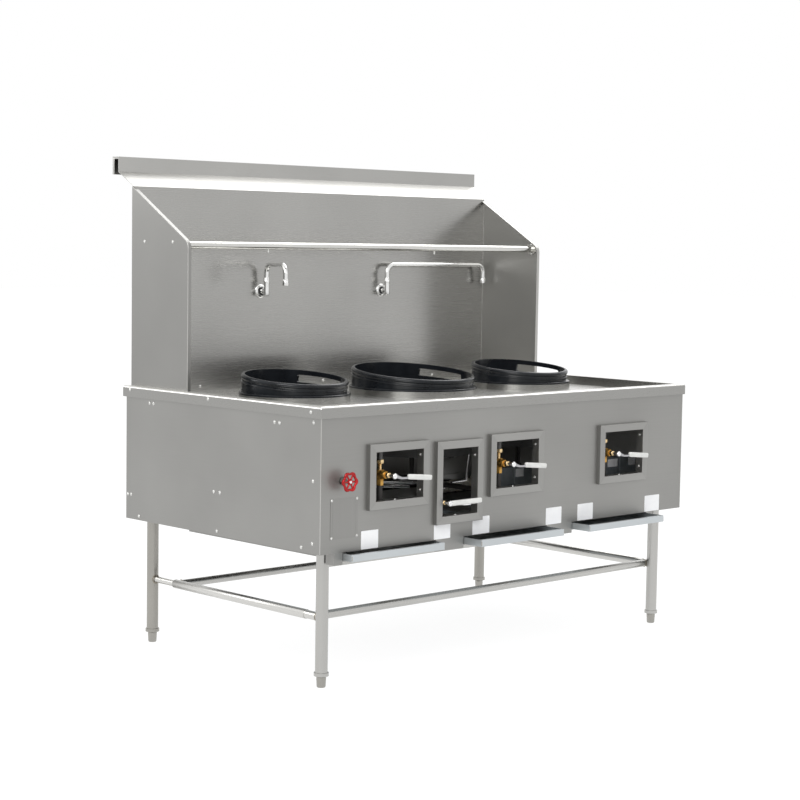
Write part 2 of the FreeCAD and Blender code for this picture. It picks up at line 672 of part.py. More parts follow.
def burner(side, x, lip, valve_x):
    """Casting with two circles of jets on crossed arms, and its feed pipe from the lever valve."""
    base = f"({UNDER} - bowl_depth)"
    reach = f"({bowl_radius_of(lip)} - bowl_wall / 2)"
    head = new_body()
    grow(head, "Pad", circle(sketch(head, "XY_Plane"), "head_radius"), "head_height")
    for circle_name in ("outer", "inner"):
        jet = six_sided(sketch(head, "XY_Plane", "head_height"), "jet_radius", f"jet_circle_{circle_name}")
        repeat(head, grow(head, "Pad", jet, "jet_height"), f"jet_count_{circle_name}", "Z_Axis")
    place(head, x, BURNER_Y, base)
    arm_z = (f"{base} - arm_thick", base)
    valve_low = "(window_height + valve_rise - valve_half - valve_tail_height)"
    pieces = [
        head,
        block(span(x, f"(2 * {reach})"), span(BURNER_Y, "arm_width"), arm_z),
        block(span(x, "arm_width"), span(BURNER_Y, f"(2 * {reach})"), arm_z),
        rod("feed_radius", f"{base} - feed_height", x, BURNER_Y, "feed_height"),
        rod("feed_radius", f"{x} - {valve_x}", valve_x, BURNER_Y, "feed_height", "x"),
        rod("feed_radius", f"{BURNER_Y} - {VALVE_Y}", valve_x, VALVE_Y, "feed_height", "y"),
        rod("feed_radius", f"{valve_low} - feed_height", valve_x, VALVE_Y, "feed_height")]
    for corner_x, corner_y in ((x, BURNER_Y), (valve_x, BURNER_Y), (valve_x, VALVE_Y)):
        pieces.append(elbow("feed_radius", corner_x, corner_y, "feed_height"))
    keep(fuse(*pieces), f"burner_{side}")


# Gas train: manifold along the front, four lever valves and their levers.

def lever_valve(label, x, z, body, nut, bonnet, gland):
    """Body with a necked union nut above, a nut below, and a bonnet and gland nut toward the front."""
    nose = f"({VALVE_Y} - bonnet_length - gland_length)"
    solid = fuse(
        hexagon(body, "2 * valve_half", x, VALVE_Y, f"{z} - valve_half"),
        rod("valve_neck", "valve_neck_height", x, VALVE_Y, f"{z} + valve_half"),
        hexagon(nut, "valve_nut_height", x, VALVE_Y, f"{z} + valve_half + valve_neck_height"),
        hexagon(nut, "valve_tail_height", x, VALVE_Y, f"{z} - valve_half - valve_tail_height"),
        hexagon(bonnet, "bonnet_length", x, f"{VALVE_Y} - bonnet_length", z, "y"),
        hexagon(gland, "gland_length", x, nose, z, "y"))
    bore = rod("stem_radius + running_gap", "stem_seat + sheet_gauge", x, nose, z, "y")
    keep(cut(solid, bore), label)


def lever(label, x, z, grip_start, grip, droop):
    """Stem, six-sided hub, tapered arm and flat grip, turning about the stem."""
    tilt = FreeCAD.Placement(Vec(), Turn(Vec(0, 1, 0), size(droop)))
    plane = f"({FRONT} - lever_stand)"
    nose = f"({VALVE_Y} - bonnet_length - gland_length)"
    bar = new_body()
    side_view = rectangle(sketch(bar, "XZ_Plane", "-grip_thick / 2"), (grip_start, f"{grip_start} + {grip}"),
                          span("0", "grip_height"))
    grow(bar, "Pad", side_view, "grip_thick")
    soften(bar, "Chamfer", "grip_round", lambda edge: runs(edge, "x") or runs(edge, "z"))
    bar.Placement = tilt
    place(bar, x, plane, z)
    pieces = [bar, hexagon("hub_radius", "hub_length", x, f"{plane} - hub_length / 2", z, "y"),
              rod("stem_radius", f"{nose} + stem_seat - {plane}", x, plane, z, "y")]
    if grip_start != "0":
        arm = new_body()
        joint_x = f"{grip_start} + grip_round"
        plate = sketch(arm, "XZ_Plane", "-arm_plate / 2")
        outline(plate, [("0", "-arm_root / 2"), (joint_x, "-arm_tip / 2"), (joint_x, "arm_tip / 2"),
                        ("0", "arm_root / 2")])
        grow(arm, "Pad", plate, "arm_plate")
        arm.Placement = tilt
        pieces.append(place(arm, x, plane, z))
    keep(fuse(*pieces), label)


def gas_train():
    z = "manifold_height"
    top = "valve_half + valve_neck_height + valve_nut_height"
    run_end = f"({REAR} + inlet_stub)"
    pieces = [
        rod("manifold_radius", "manifold_run - manifold_start", "manifold_start", VALVE_Y, z, "x"),
        elbow("manifold_radius", "manifold_run", VALVE_Y, z),
        rod("manifold_radius", f"{run_end} - {VALVE_Y}", "manifold_run", VALVE_Y, z, "y"),
        hexagon("manifold_radius + pipe_gap", "inlet_stub / 2", "manifold_run", REAR, z, "y")]
    wide_z = "(window_height + valve_rise)"
    for number, (_, _, _, x) in enumerate(BURNERS, 1):
        low = f"({wide_z} + {top})"
        pieces.append(rod("drop_radius", f"{z} - {low}", x, VALVE_Y, low))
        lever_valve(f"gas_valve_{number}", x, wide_z, "valve_body", "valve_nut", "bonnet_radius",
                    "gland_radius")
        lever(f"gas_lever_{number}", x, wide_z, "arm_length", "grip_length", "lever_droop")
    pilot_x, pilot_z = "(window_x_2 - pilot_set)", "(tall_height - pilot_drop)"
    low = f"({pilot_z} + {top})"
    pieces.append(rod("pilot_pipe", f"{z} - {low}", pilot_x, VALVE_Y, low))
    lever_valve("pilot_valve", pilot_x, pilot_z, "pilot_body", "pilot_nut", "pilot_bonnet", "pilot_gland")
    lever("pilot_lever", pilot_x, pilot_z, "0", "pilot_grip", "0")
    keep(fuse(*pieces), "gas_manifold")


# Splash back: sheet panel between two cheeks, slanted flange and open-ended channel on top.

def splash_back():
    back = f"({REAR} - sheet_gauge)"
    inner_x = (f"{LEFT} + rim_width + sheet_gauge", f"{RIGHT} - rim_width - sheet_gauge")
    shell = block(inner_x, (SPLASH, back), (DECK, "splash_top"))
    hollow = block((f"{inner_x[0]} + sheet_gauge", f"{inner_x[1]} - sheet_gauge"),
                   (f"{SPLASH} + sheet_gauge", REAR),
                   (f"{DECK} + sheet_gauge", "splash_top - sheet_gauge"))
    before = f"{SPLASH} - splash_inset"
    holes = [rod("faucet_nipple + cut_gap", "2 * splash_inset", x, before, "faucet_height", "y")
             for x in ("faucet_x_short", "faucet_x_long")]
    keep(cut(shell, hollow, *holes), "splash_panel")
    for side in ("left", "right"):
        cheek(side, back)
    top_channel()


def cheek(side, back):
    """Sheet with a hem turned inward along its front and slanted edges."""
    body = new_body()
    left = side == "left"
    outside = f"{LEFT} + rim_width" if left else f"{RIGHT} - rim_width"
    edge_y = f"{REAR} - cheek_depth"
    rise, run = "(splash_top - cheek_shoulder)", f"({back} - ({edge_y}))"
    corners = [(back, DECK), (back, "splash_top"), (edge_y, "cheek_shoulder"), (edge_y, DECK)]
    grow(body, "Pad", outline(sketch(body, "YZ_Plane", outside), corners), "cheek_hem", reverse=not left)
    inside = f"{outside} + sheet_gauge" if left else f"{outside} - sheet_gauge"
    # One gauge of sheet, measured straight down through the slanted hem.
    drop = f"(sheet_gauge * sqrt({run} ^ 2 + {rise} ^ 2) / {run})"
    past = (f"{back} + cheek_hem", f"{DECK} - cheek_hem", "splash_top + cheek_hem")
    pocket = [(past[0], past[1]), (past[0], past[2]), (SPLASH, past[2]),
              (SPLASH, f"splash_top - {drop} - ({back} - {SPLASH}) * {rise} / {run}"),
              (f"{edge_y} + sheet_gauge", f"cheek_shoulder - {drop} + sheet_gauge * {rise} / {run}"),
              (f"{edge_y} + sheet_gauge", past[1])]
    grow(body, "Pocket", outline(sketch(body, "YZ_Plane", inside), pocket), "cheek_hem", reverse=left)
    inner_front, inner_top = size(pocket[-2][0]), size(pocket[-2][1])
    soften(body, "Fillet", "cheek_round - sheet_gauge",
           lambda edge: runs(edge, "x") and at(edge, "z", inner_top) and at(edge, "y", inner_front))
    front, shoulder = size(edge_y), size("cheek_shoulder")
    soften(body, "Fillet", "cheek_round",
           lambda edge: runs(edge, "x") and at(edge, "z", shoulder) and at(edge, "y", front))
    keep(body, f"{side}_cheek")


def top_channel():
    """Slanted flange, a short upright band and a flat top with a turned-down rear leg."""
    body = new_body()
    low, high = "splash_top", "(splash_top + channel_rise)"
    band = f"({SPLASH} + channel_set)"
    far = f"({REAR} + rear_overhang)"
    crest = f"({high} + channel_height)"
    leg = f"({crest} - channel_back_leg)"
    profile = outline(sketch(body, "YZ_Plane", f"{LEFT} + rim_width - channel_overhang"), [
        (SPLASH, low), (band, high), (band, crest), (far, crest), (far, leg),
        (f"{far} - sheet_gauge", leg),
        (f"{far} - sheet_gauge", f"{crest} - sheet_gauge"),
        (f"{band} + sheet_gauge", f"{crest} - sheet_gauge"),
        (f"{band} + sheet_gauge", f"{high} - sheet_gauge"),
        (f"{SPLASH} + sheet_gauge", low)])
    grow(body, "Pad", profile, "counter_length - 2 * rim_width + 2 * channel_overhang")
    for sign in ("-", "+"):
        cheek_line = f"({sign}({RIGHT} - rim_width))"
        end = f"({cheek_line} {sign} channel_overhang)"
        past = f"({end} {sign} sheet_gauge)"
        taper = outline(sketch(body, "XY_Plane", high), [
            (cheek_line, f"{SPLASH} - sheet_gauge"), (past, f"{SPLASH} - sheet_gauge"), (past, band),
            (end, band), (cheek_line, SPLASH)])
        grow(body, "Pocket", taper, "channel_rise + sheet_gauge")
    keep(body, "top_channel")


def pot_rail():
    y = f"({REAR} - rail_from_rear)"
    wall_x = f"({RIGHT} - rim_width - sheet_gauge)"
    length = f"(2 * {wall_x})"
    rail = tube("rail_radius", "rail_wall", length, f"-{wall_x}", y, "rail_height", "x")
    plates = [rod("rail_plate", "rail_plate_thick", x, y, "rail_height", "x")
              for x in (f"-{wall_x}", f"{wall_x} - rail_plate_thick")]
    bore = rod("rail_radius - rail_wall", length, f"-{wall_x}", y, "rail_height", "x")
    low = "rail_height - rail_radius - rail_stud_drop"
    studs = [rod("rail_stud", "rail_stud_drop + rail_wall", x, y, low)
             for x in ("rail_stud_left", "rail_stud_right")]
    keep(fuse(rail, cut(fuse(*plates), bore), *studs), "pot_rail")


# Faucets: body on an escutcheon, packing nut, and a bent spout that turns in it.

def faucet(name, x):
    y = f"({SPLASH} - faucet_set)"
    z = "faucet_height"
    solid = fuse(
        rod("faucet_plate", "faucet_plate_thick", x, f"{SPLASH} - faucet_plate_thick", z, "y"),
        rod("faucet_nipple", "faucet_set + splash_inset", x, y, z, "y"),
        rod("faucet_body", "faucet_below + faucet_above", x, y, f"{z} - faucet_below"),
        hexagon("faucet_nut", "faucet_nut_height", x, y, f"{z} + faucet_above"))
    socket = f"{z} + faucet_above + faucet_nut_height - socket_depth"
    bore = rod("spout_tube + running_gap", "faucet_nut_height", x, y, socket)
    keep(cut(solid, bore), f"faucet_{name}")


def spout(name, x, reach, turn):
    """Tube swept up, over and down, with its bends in three mitred steps, and an outlet collar."""
    foot = "(faucet_height + faucet_above + faucet_nut_height - socket_depth)"
    level = "(spout_top - spout_bend)"
    far = f"({reach} - spout_bend)"
    route = [("0", foot), ("0", level)]
    for angle in BEND_STEPS:
        route.append((f"spout_bend * (1 - cos({angle}))", f"{level} + spout_bend * sin({angle})"))
    route.append((far, "spout_top"))
    for angle in BEND_STEPS:
        route.append((f"{far} + spout_bend * sin({angle})", f"{level} + spout_bend * cos({angle})"))
    route.append((reach, "spout_end"))
    body = new_body()
    path = outline(sketch(body, "XZ_Plane"), route, closed=False)
    section = circle(sketch(body, "XY_Plane", foot), "spout_tube")
    doc.recompute()
    pipe = body.newObject("PartDesign::AdditivePipe", "Pipe")
    pipe.Profile = section
    pipe.Spine = (path, [f"Edge{n}" for n in range(1, len(route))])
    pipe.Transition = "Right corner"
    collar = circle(sketch(body, "XY_Plane", "spout_end"), "outlet_radius", reach, "0")
    grow(body, "Pad", collar, "outlet_height")
    mouth = circle(sketch(body, "XY_Plane", "spout_end"), "spout_bore", reach, "0")
    grow(body, "Pocket", mouth, "outlet_height", reverse=True)
    body.Placement = FreeCAD.Placement(Vec(), Turn(Vec(0, 0, 1), size(turn)))
    place(keep(body, f"spout_{name}"), x, f"{SPLASH} - faucet_set")


def water():
    """Tap body behind the panel, and one pipe from the inlet to the tap and both faucets."""
    back = f"({PANEL} + sheet_gauge)"
    nose = f"({PANEL} - tap_nut_length)"
    depth = "tap_nut_length + stem_seat"
    solid = fuse(hexagon("tap_body", "tap_length", "wheel_x", back, "wheel_height", "y"),
                 hexagon("tap_nut", "tap_nut_length + sheet_gauge", "wheel_x", nose, "wheel_height", "y"))
    bore = rod("stem_radius + running_gap", depth, "wheel_x", nose, "wheel_height", "y")
    keep(cut(solid, bore), "water_tap")
    y = f"({SPLASH} + supply_set)"
    start = f"({back} + tap_length)"
    riser_low = "(wheel_height - supply_tail)"
    pieces = [
        rod("supply_radius", f"{y} - {start}", "wheel_x", start, "wheel_height", "y"),
        elbow("supply_radius", "wheel_x", y, "wheel_height"),
        rod("supply_radius", f"faucet_height - {riser_low}", "wheel_x", y, riser_low),
        elbow("supply_radius", "wheel_x", y, "faucet_height"),
        rod("supply_radius", "faucet_x_long - wheel_x", "wheel_x", y, "faucet_height", "x"),
        elbow("supply_radius", "faucet_x_short", y, "faucet_height"),
        elbow("supply_radius", "faucet_x_long", y, "faucet_height")]
    for x in ("faucet_x_short", "faucet_x_long"):
        pieces.append(rod("supply_radius", f"{y} - {REAR}", x, REAR, "faucet_height", "y"))
    keep(fuse(*pieces), "water_pipe")
    hand_wheel()


def hand_wheel():
    """Wheel with lobes, an opening through each lobe, a hub and a stem that turns in the tap's nut."""
    body = new_body()
    grow(body, "Pad", circle(sketch(body, "XZ_Plane", "-wheel_thick / 2"), "wheel_radius"), "wheel_thick")
    spread = "(wheel_radius + wheel_scallop / 2)"
    half_step = "180 / wheel_lobes"
    scallop = circle(sketch(body, "XZ_Plane", "wheel_thick"), "wheel_scallop", f"{spread} * cos({half_step})",
                     f"{spread} * sin({half_step})")
    repeat(body, grow(body, "Pocket", scallop, "2 * wheel_thick"), "wheel_lobes", "Y_Axis")
    hole = six_sided(sketch(body, "XZ_Plane", "wheel_thick"), "wheel_hole", "wheel_hole_circle")
    repeat(body, grow(body, "Pocket", hole, "2 * wheel_thick"), "wheel_lobes", "Y_Axis")
    grow(body, "Pad", circle(sketch(body, "XZ_Plane", "-wheel_thick / 2 - sheet_gauge"), "wheel_hub"),
         "wheel_thick + 2 * sheet_gauge")
    tip = f"({PANEL} - tap_nut_length + stem_seat)"
    plane = f"({FRONT} - wheel_stand)"
    grow(body, "Pad", circle(sketch(body, "XZ_Plane"), "stem_radius"), f"{tip} - {plane}", reverse=True)
    place(keep(body, "hand_wheel"), "wheel_x", plane, "wheel_height")


# Legs: tube with a pressed insert, and a bullet foot that screws out of it.

def legs():
    side_x = {"left": f"({LEFT} + leg_inset_side)", "right": f"({RIGHT} - leg_inset_side)"}
    end_y = {"front": f"({FRONT} + leg_inset_front)", "rear": f"({REAR} - leg_inset_rear)"}
    for end, y in end_y.items():
        for side, x in side_x.items():
            shank = tube("leg_radius", "leg_wall", "cabinet_bottom - leg_bottom", x, y, "leg_bottom")
            stop = "leg_bottom - collar_height"
            insert = fuse(rod("collar_radius", "collar_height", x, y, stop),
                          rod("leg_radius - leg_wall", "collar_plug", x, y, "leg_bottom"))
            bore = rod("foot_stem + foot_gap", "collar_height + collar_plug", x, y, stop)
            keep(fuse(shank, cut(insert, bore)), f"leg_{end}_{side}")
            foot(f"foot_{end}_{side}", x, y)
    stretchers(side_x, end_y)


def foot(label, x, y):
    body = new_body()
    stop = "leg_bottom - collar_height"
    grow(body, "Pad", circle(sketch(body, "XY_Plane"), "foot_radius"), stop)
    grow(body, "Pad", circle(sketch(body, "XY_Plane", stop), "foot_stem"), "foot_travel + foot_stem_spare")
    place(keep(body, label), x, y)


def stretchers(side_x, end_y):
    """Tubes between the legs, coped to what they meet. The thin end of a side tube takes a cross tube."""
    z = "stretcher_height"
    length = f"({end_y['rear']} - {end_y['front']})"
    lifted = f"{z} - cope_half"

    def side_stretcher(side, stub_start, stub_length, main_start):
        x = side_x[side]
        solid = fuse(rod("stretcher_radius", f"{length} - {stub_length}", x, main_start, z, "y"),
                     rod("stub_radius", stub_length, x, stub_start, z, "y"))
        hollow = rod("stub_radius - stretcher_wall", length, x, end_y["front"], z, "y")
        copes = [rod("leg_radius", "2 * cope_half", x, y, lifted) for y in end_y.values()]
        keep(cut(solid, hollow, *copes), f"{side}_stretcher")

    side_stretcher("left", f"{end_y['rear']} - stub_rear", "stub_rear", end_y["front"])
    side_stretcher("right", end_y["front"], "stub_front", f"{end_y['front']} + stub_front")
    apart = f"({side_x['right']} - {side_x['left']})"
    for label, y, right_radius in (("front", f"({FRONT} + front_stretcher_set)", "stub_radius"),
                                   ("rear", f"({REAR} - rear_stretcher_set)", "stretcher_radius")):
        bar = tube("stretcher_radius", "stretcher_wall", apart, side_x["left"], y, z, "x")
        copes = []
        for side, radius in (("left", "stretcher_radius"), ("right", right_radius)):
            copes.append(rod(radius, "2 * cope_half", side_x[side], f"{y} - cope_half", z, "y"))
            copes.append(rod("leg_radius", "2 * cope_half", side_x[side], end_y[label], lifted))
        keep(cut(bar, *copes), f"{label}_stretcher")


# Drip trays under the cabinet, each sliding on two ledges of its hangers.

def tray_edges(number):
    centre = f"tray_x_{number}"
    return f"({centre} - tray_width / 2)", f"({centre} + tray_width / 2)"


def drip_trays():
    pulls = {1: "tray_out_1", 2: "tray_pull", 3: "tray_pull"}
    for number, pull in pulls.items():
        body = new_body()
        wide, deep = span("0", "tray_width"), ("0", "tray_length")
        grow(body, "Pad", rectangle(sketch(body, "XY_Plane"), wide, deep), "tray_height")
        soften(body, "Fillet", "2 * tray_sheet", lambda edge: runs(edge, "z"))
        inside = sketch(body, "XY_Plane", "tray_height")
        rectangle(inside, span("0", "tray_width", "-tray_sheet"), ("tray_sheet", "tray_length - tray_sheet"))
        grow(body, "Pocket", inside, "tray_height - tray_sheet")
        hem = sketch(body, "XY_Plane", "tray_height - tray_sheet")
        rectangle(hem, span("0", "tray_width", "-tray_sheet"), ("tray_sheet", "tray_lip"))
        grow(body, "Pad", hem, "tray_sheet")
        place(keep(body, f"drip_tray_{number}"), f"tray_x_{number}", f"{FRONT} - {pull}", "tray_bottom")


def across(start, far, sign):
    """Span from one expression to another, low end first. The sign is the way from start to far."""
    return (start, far) if sign == "+" else (far, start)


def folded_box(x, y, z, open_back):
    """Sheet box, closed in front and open behind."""
    inside_x = (f"{x[0]} + sheet_gauge", f"{x[1]} - sheet_gauge")
    inside_z = (f"{z[0]} + sheet_gauge", f"{z[1]} - sheet_gauge")
    return cut(block(x, y, z), block(inside_x, (f"{y[0]} + sheet_gauge", open_back), inside_z))


def tray_hangers():
    """Two boxes between the trays and a web at each end, all with ledges that the trays slide on."""
    deep = (PANEL, f"({PANEL} + hanger_length)")
    past = f"({deep[1]} + sheet_gauge)"
    drop = ("(cabinet_bottom - hanger_height)", "cabinet_bottom")
    ledge_z = ("(tray_bottom - slide_gap - sheet_gauge)", "(tray_bottom - slide_gap)")
    edges = {number: tray_edges(number) for number in (1, 2, 3)}
    opposite = {"+": "-", "-": "+"}

    def ledge(edge, inward):
        """Ledge under a tray edge, from the web beside it."""
        web_side = f"({edge} {opposite[inward]} side_gap)"
        return block(across(web_side, f"({edge} {inward} ledge_width)", inward), deep, ledge_z)

    for number in (1, 2):
        right, left = edges[number][1], edges[number + 1][0]
        box = folded_box((f"({right} + side_gap)", f"({left} - side_gap)"), deep, drop, past)
        keep(fuse(box, ledge(right, "-"), ledge(left, "+")), f"tray_hanger_{number + 1}")
    for number, edge, outward in ((1, edges[1][0], "-"), (4, edges[3][1], "+")):
        near = f"({edge} {outward} side_gap)"
        web = block(across(near, f"({near} {outward} sheet_gauge)", outward), deep, (ledge_z[0], drop[1]))
        bracket_y = (PANEL, f"({PANEL} + end_bracket_depth)")
        bracket = folded_box(across(near, f"({near} {outward} end_bracket)", outward), bracket_y, drop, past)
        keep(fuse(bracket, web, ledge(edge, opposite[outward])), f"tray_hanger_{number}")


def build():
    deck_pan()
    cabinet()
    window_frames()
    for side, x, lip, valve_x in BURNERS:
        wok_ring(side, x, lip)
        burner_bowl(side, x, lip)
        burner(side, x, lip, valve_x)
    gas_train()
    splash_back()
    pot_rail()
    for name, turn in (("short", "spout_turn_short"), ("long", "0")):
        faucet(name, f"faucet_x_{name}")
        spout(name, f"faucet_x_{name}", f"spout_reach_{name}", turn)
    water()
    legs()
    drip_trays()
    tray_hangers()


build()
doc.recompute()

for obj in doc.Objects:
    if "Invalid" in obj.State or "Error" in obj.State:
        raise ValueError(f"{obj.Name} ({obj.Label}) failed: {obj.State}")
for obj in nodes:
    if obj.Shape.isNull() or not obj.Shape.isValid() or obj.Shape.Volume <= 0:
        raise ValueError(f"{obj.Label} has no valid solid")

os.makedirs("parts", exist_ok=True)
for obj in nodes:
    obj.Shape.exportStep(f"parts/{obj.Label}.step")
    print(f"{obj.Label}: {len(obj.Shape.Solids)} solid(s), {obj.Shape.Volume / 1000:.0f} cm3")
print(len(nodes), "pieces")
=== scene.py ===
# %% [markdown]
# A three-burner wok range, dressed for a studio picture. The sheet-metal frame arrives from the packed
# model and is never moved; every cell below gives it a finish or adds a piece that a maker would fit.
# Lengths are metres, X runs along the front, Y from front to back and Z up from the floor.

# %% Load the frame
import bmesh
import bpy
import math
from mathutils import Matrix, Vector


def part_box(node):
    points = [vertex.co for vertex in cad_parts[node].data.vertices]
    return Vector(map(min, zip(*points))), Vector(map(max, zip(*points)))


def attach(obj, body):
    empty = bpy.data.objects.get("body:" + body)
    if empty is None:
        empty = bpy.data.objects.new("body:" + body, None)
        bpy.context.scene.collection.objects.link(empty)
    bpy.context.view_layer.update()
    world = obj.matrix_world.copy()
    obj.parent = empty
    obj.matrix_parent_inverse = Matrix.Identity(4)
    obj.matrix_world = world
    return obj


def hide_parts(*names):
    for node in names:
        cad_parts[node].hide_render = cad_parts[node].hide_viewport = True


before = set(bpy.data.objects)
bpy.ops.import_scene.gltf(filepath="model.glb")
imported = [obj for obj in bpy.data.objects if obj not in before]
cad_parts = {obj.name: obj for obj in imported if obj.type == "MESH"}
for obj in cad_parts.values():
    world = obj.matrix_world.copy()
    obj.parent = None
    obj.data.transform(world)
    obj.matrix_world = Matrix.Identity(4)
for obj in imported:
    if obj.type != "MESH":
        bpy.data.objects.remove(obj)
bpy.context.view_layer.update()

# %% [markdown]
# Most of the range is stainless sheet with a satin grain. The grain of a real sheet is thousands of fine
# scratches in one direction, so a noise texture is stretched a few hundred times along one axis. It moves
# the roughness a little and tips the surface a little through a bump. A second, broad noise carries a faint
# change of tone, for the uneven sheen left by handling and wiping.

# %% Material helpers
def new_material(name, color, metallic, roughness):
    """A material with one Principled shader. Returns the material, its node tree and the shader."""
    material = bpy.data.materials.new(name)
    material.use_nodes = True
    tree = material.node_tree
    shader = tree.nodes["Principled BSDF"]
    shader.inputs["Base Color"].default_value = (*color, 1)
    shader.inputs["Metallic"].default_value = metallic
    shader.inputs["Roughness"].default_value = roughness
    return material, tree, shader


def noise_field(tree, scale, detail=3.0):
    """A noise texture in the frame's own coordinates. One scale gives round grains, three stretch them."""
    place = tree.nodes.new("ShaderNodeTexCoord")
    stretch = tree.nodes.new("ShaderNodeMapping")
    stretch.inputs["Scale"].default_value = scale if isinstance(scale, tuple) else (scale, scale, scale)
    noise = tree.nodes.new("ShaderNodeTexNoise")
    noise.inputs["Scale"].default_value = 1.0
    noise.inputs["Detail"].default_value = detail
    tree.links.new(place.outputs["Object"], stretch.inputs["Vector"])
    tree.links.new(stretch.outputs["Vector"], noise.inputs["Vector"])
    return noise.outputs["Fac"]


def spread(tree, value, low, high):
    """Maps the middle half of a noise, where nearly all of it lies, to a range."""
    node = tree.nodes.new("ShaderNodeMapRange")
    for end, number in (("From Min", 0.25), ("From Max", 0.75), ("To Min", low), ("To Max", high)):
        node.inputs[end].default_value = number
    tree.links.new(value, node.inputs["Value"])
    return node.outputs["Result"]


def tone(tree, value, dark, light):
    """Mixes two colours by a value from 0 to 1."""
    ramp = tree.nodes.new("ShaderNodeValToRGB")
    for stop, position, color in zip(ramp.color_ramp.elements, (0.3, 0.7), (dark, light)):
        stop.position = position
        stop.color = (*color, 1)
    tree.links.new(value, ramp.inputs["Fac"])
    return ramp.outputs["Color"]


def bump(tree, shader, value, strength, depth):
    """Tips the surface by a value, depth metres deep at full strength."""
    node = tree.nodes.new("ShaderNodeBump")
    node.inputs["Strength"].default_value = strength
    node.inputs["Distance"].default_value = depth
    tree.links.new(value, node.inputs["Height"])
    tree.links.new(node.outputs["Normal"], shader.inputs["Normal"])


def calculate(tree, operation, value, other):
    """One Math node. The other inputs are numbers or the outputs of nodes."""
    node = tree.nodes.new("ShaderNodeMath")
    node.operation = operation
    for slot, item in enumerate((value, *other)):
        if isinstance(item, float):
            node.inputs[slot].default_value = item
        else:
            tree.links.new(item, node.inputs[slot])
    return node.outputs[0]


def painted_light_above(tree, shader, color, factor, end_light_share):
    """Painted light: upward faces are painted brighter, up to factor times the colour, the two ends a
    little, and the front keeps the colour.
    """
    facing = tree.nodes.new("ShaderNodeNewGeometry")
    parts = tree.nodes.new("ShaderNodeSeparateXYZ")
    tree.links.new(facing.outputs["Normal"], parts.inputs[0])
    above = calculate(tree, "MULTIPLY_ADD", noise_field(tree, 5), (0.12, parts.outputs["Z"]))
    sideways = calculate(tree, "ABSOLUTE", parts.outputs["X"], ())
    share = calculate(tree, "MULTIPLY_ADD", sideways, (end_light_share, above))
    tree.links.new(tone(tree, share, color, shade(color, factor)), shader.inputs["Base Color"])


def shade(color, factor):
    """A colour times a factor, not above white."""
    return tuple(min(1.0, part * factor) for part in color)


GRAIN = {"x": (6, 700, 700), "y": (700, 6, 700), "z": (700, 700, 6)}


def satin(name, color, along, roughness, depth=0.00001):
    """Satin-ground stainless steel with its grain along one axis."""
    material, tree, shader = new_material(name, color, 1.0, roughness)
    grain = noise_field(tree, GRAIN[along], 4.0)
    cloud = noise_field(tree, 2.2, 3.0)
    tree.links.new(spread(tree, grain, roughness - 0.04, roughness + 0.05), shader.inputs["Roughness"])
    tree.links.new(tone(tree, cloud, shade(color, 0.94), shade(color, 1.05)), shader.inputs["Base Color"])
    bump(tree, shader, grain, 0.25, depth)
    return material


def mottled(name, color, metallic, roughness, skin, patch, dark, light):
    """A fine skin, as (scale, detail, strength, depth), under patches that run between two colours."""
    material, tree, shader = new_material(name, color, metallic, roughness)
    scale, detail, strength, depth = skin
    bump(tree, shader, noise_field(tree, scale, detail), strength, depth)
    tree.links.new(tone(tree, noise_field(tree, patch), dark, light), shader.inputs["Base Color"])
    return material


def cast(name, color, roughness=0.45, grit=260, depth=0.0004):
    """Cast metal: a fine sandy skin with broader smooth patches."""
    material, tree, shader = new_material(name, color, 0.55, roughness)
    skin = noise_field(tree, grit, 5.0)
    patch = noise_field(tree, 9, 3.0)
    tree.links.new(spread(tree, patch, roughness - 0.12, roughness + 0.12), shader.inputs["Roughness"])
    tree.links.new(tone(tree, patch, shade(color, 0.8), shade(color, 1.3)), shader.inputs["Base Color"])
    bump(tree, shader, skin, 0.35, depth)
    return material


def machined(name, color, roughness=0.2, along="z"):
    """Turned or polished metal with a trace of tool marks."""
    material, tree, shader = new_material(name, color, 1.0, roughness)
    marks = noise_field(tree, GRAIN[along], 2.0)
    film = noise_field(tree, 30, 3.0)
    tree.links.new(spread(tree, film, roughness - 0.06, roughness + 0.1), shader.inputs["Roughness"])
    bump(tree, shader, marks, 0.12, 0.00001)
    return material
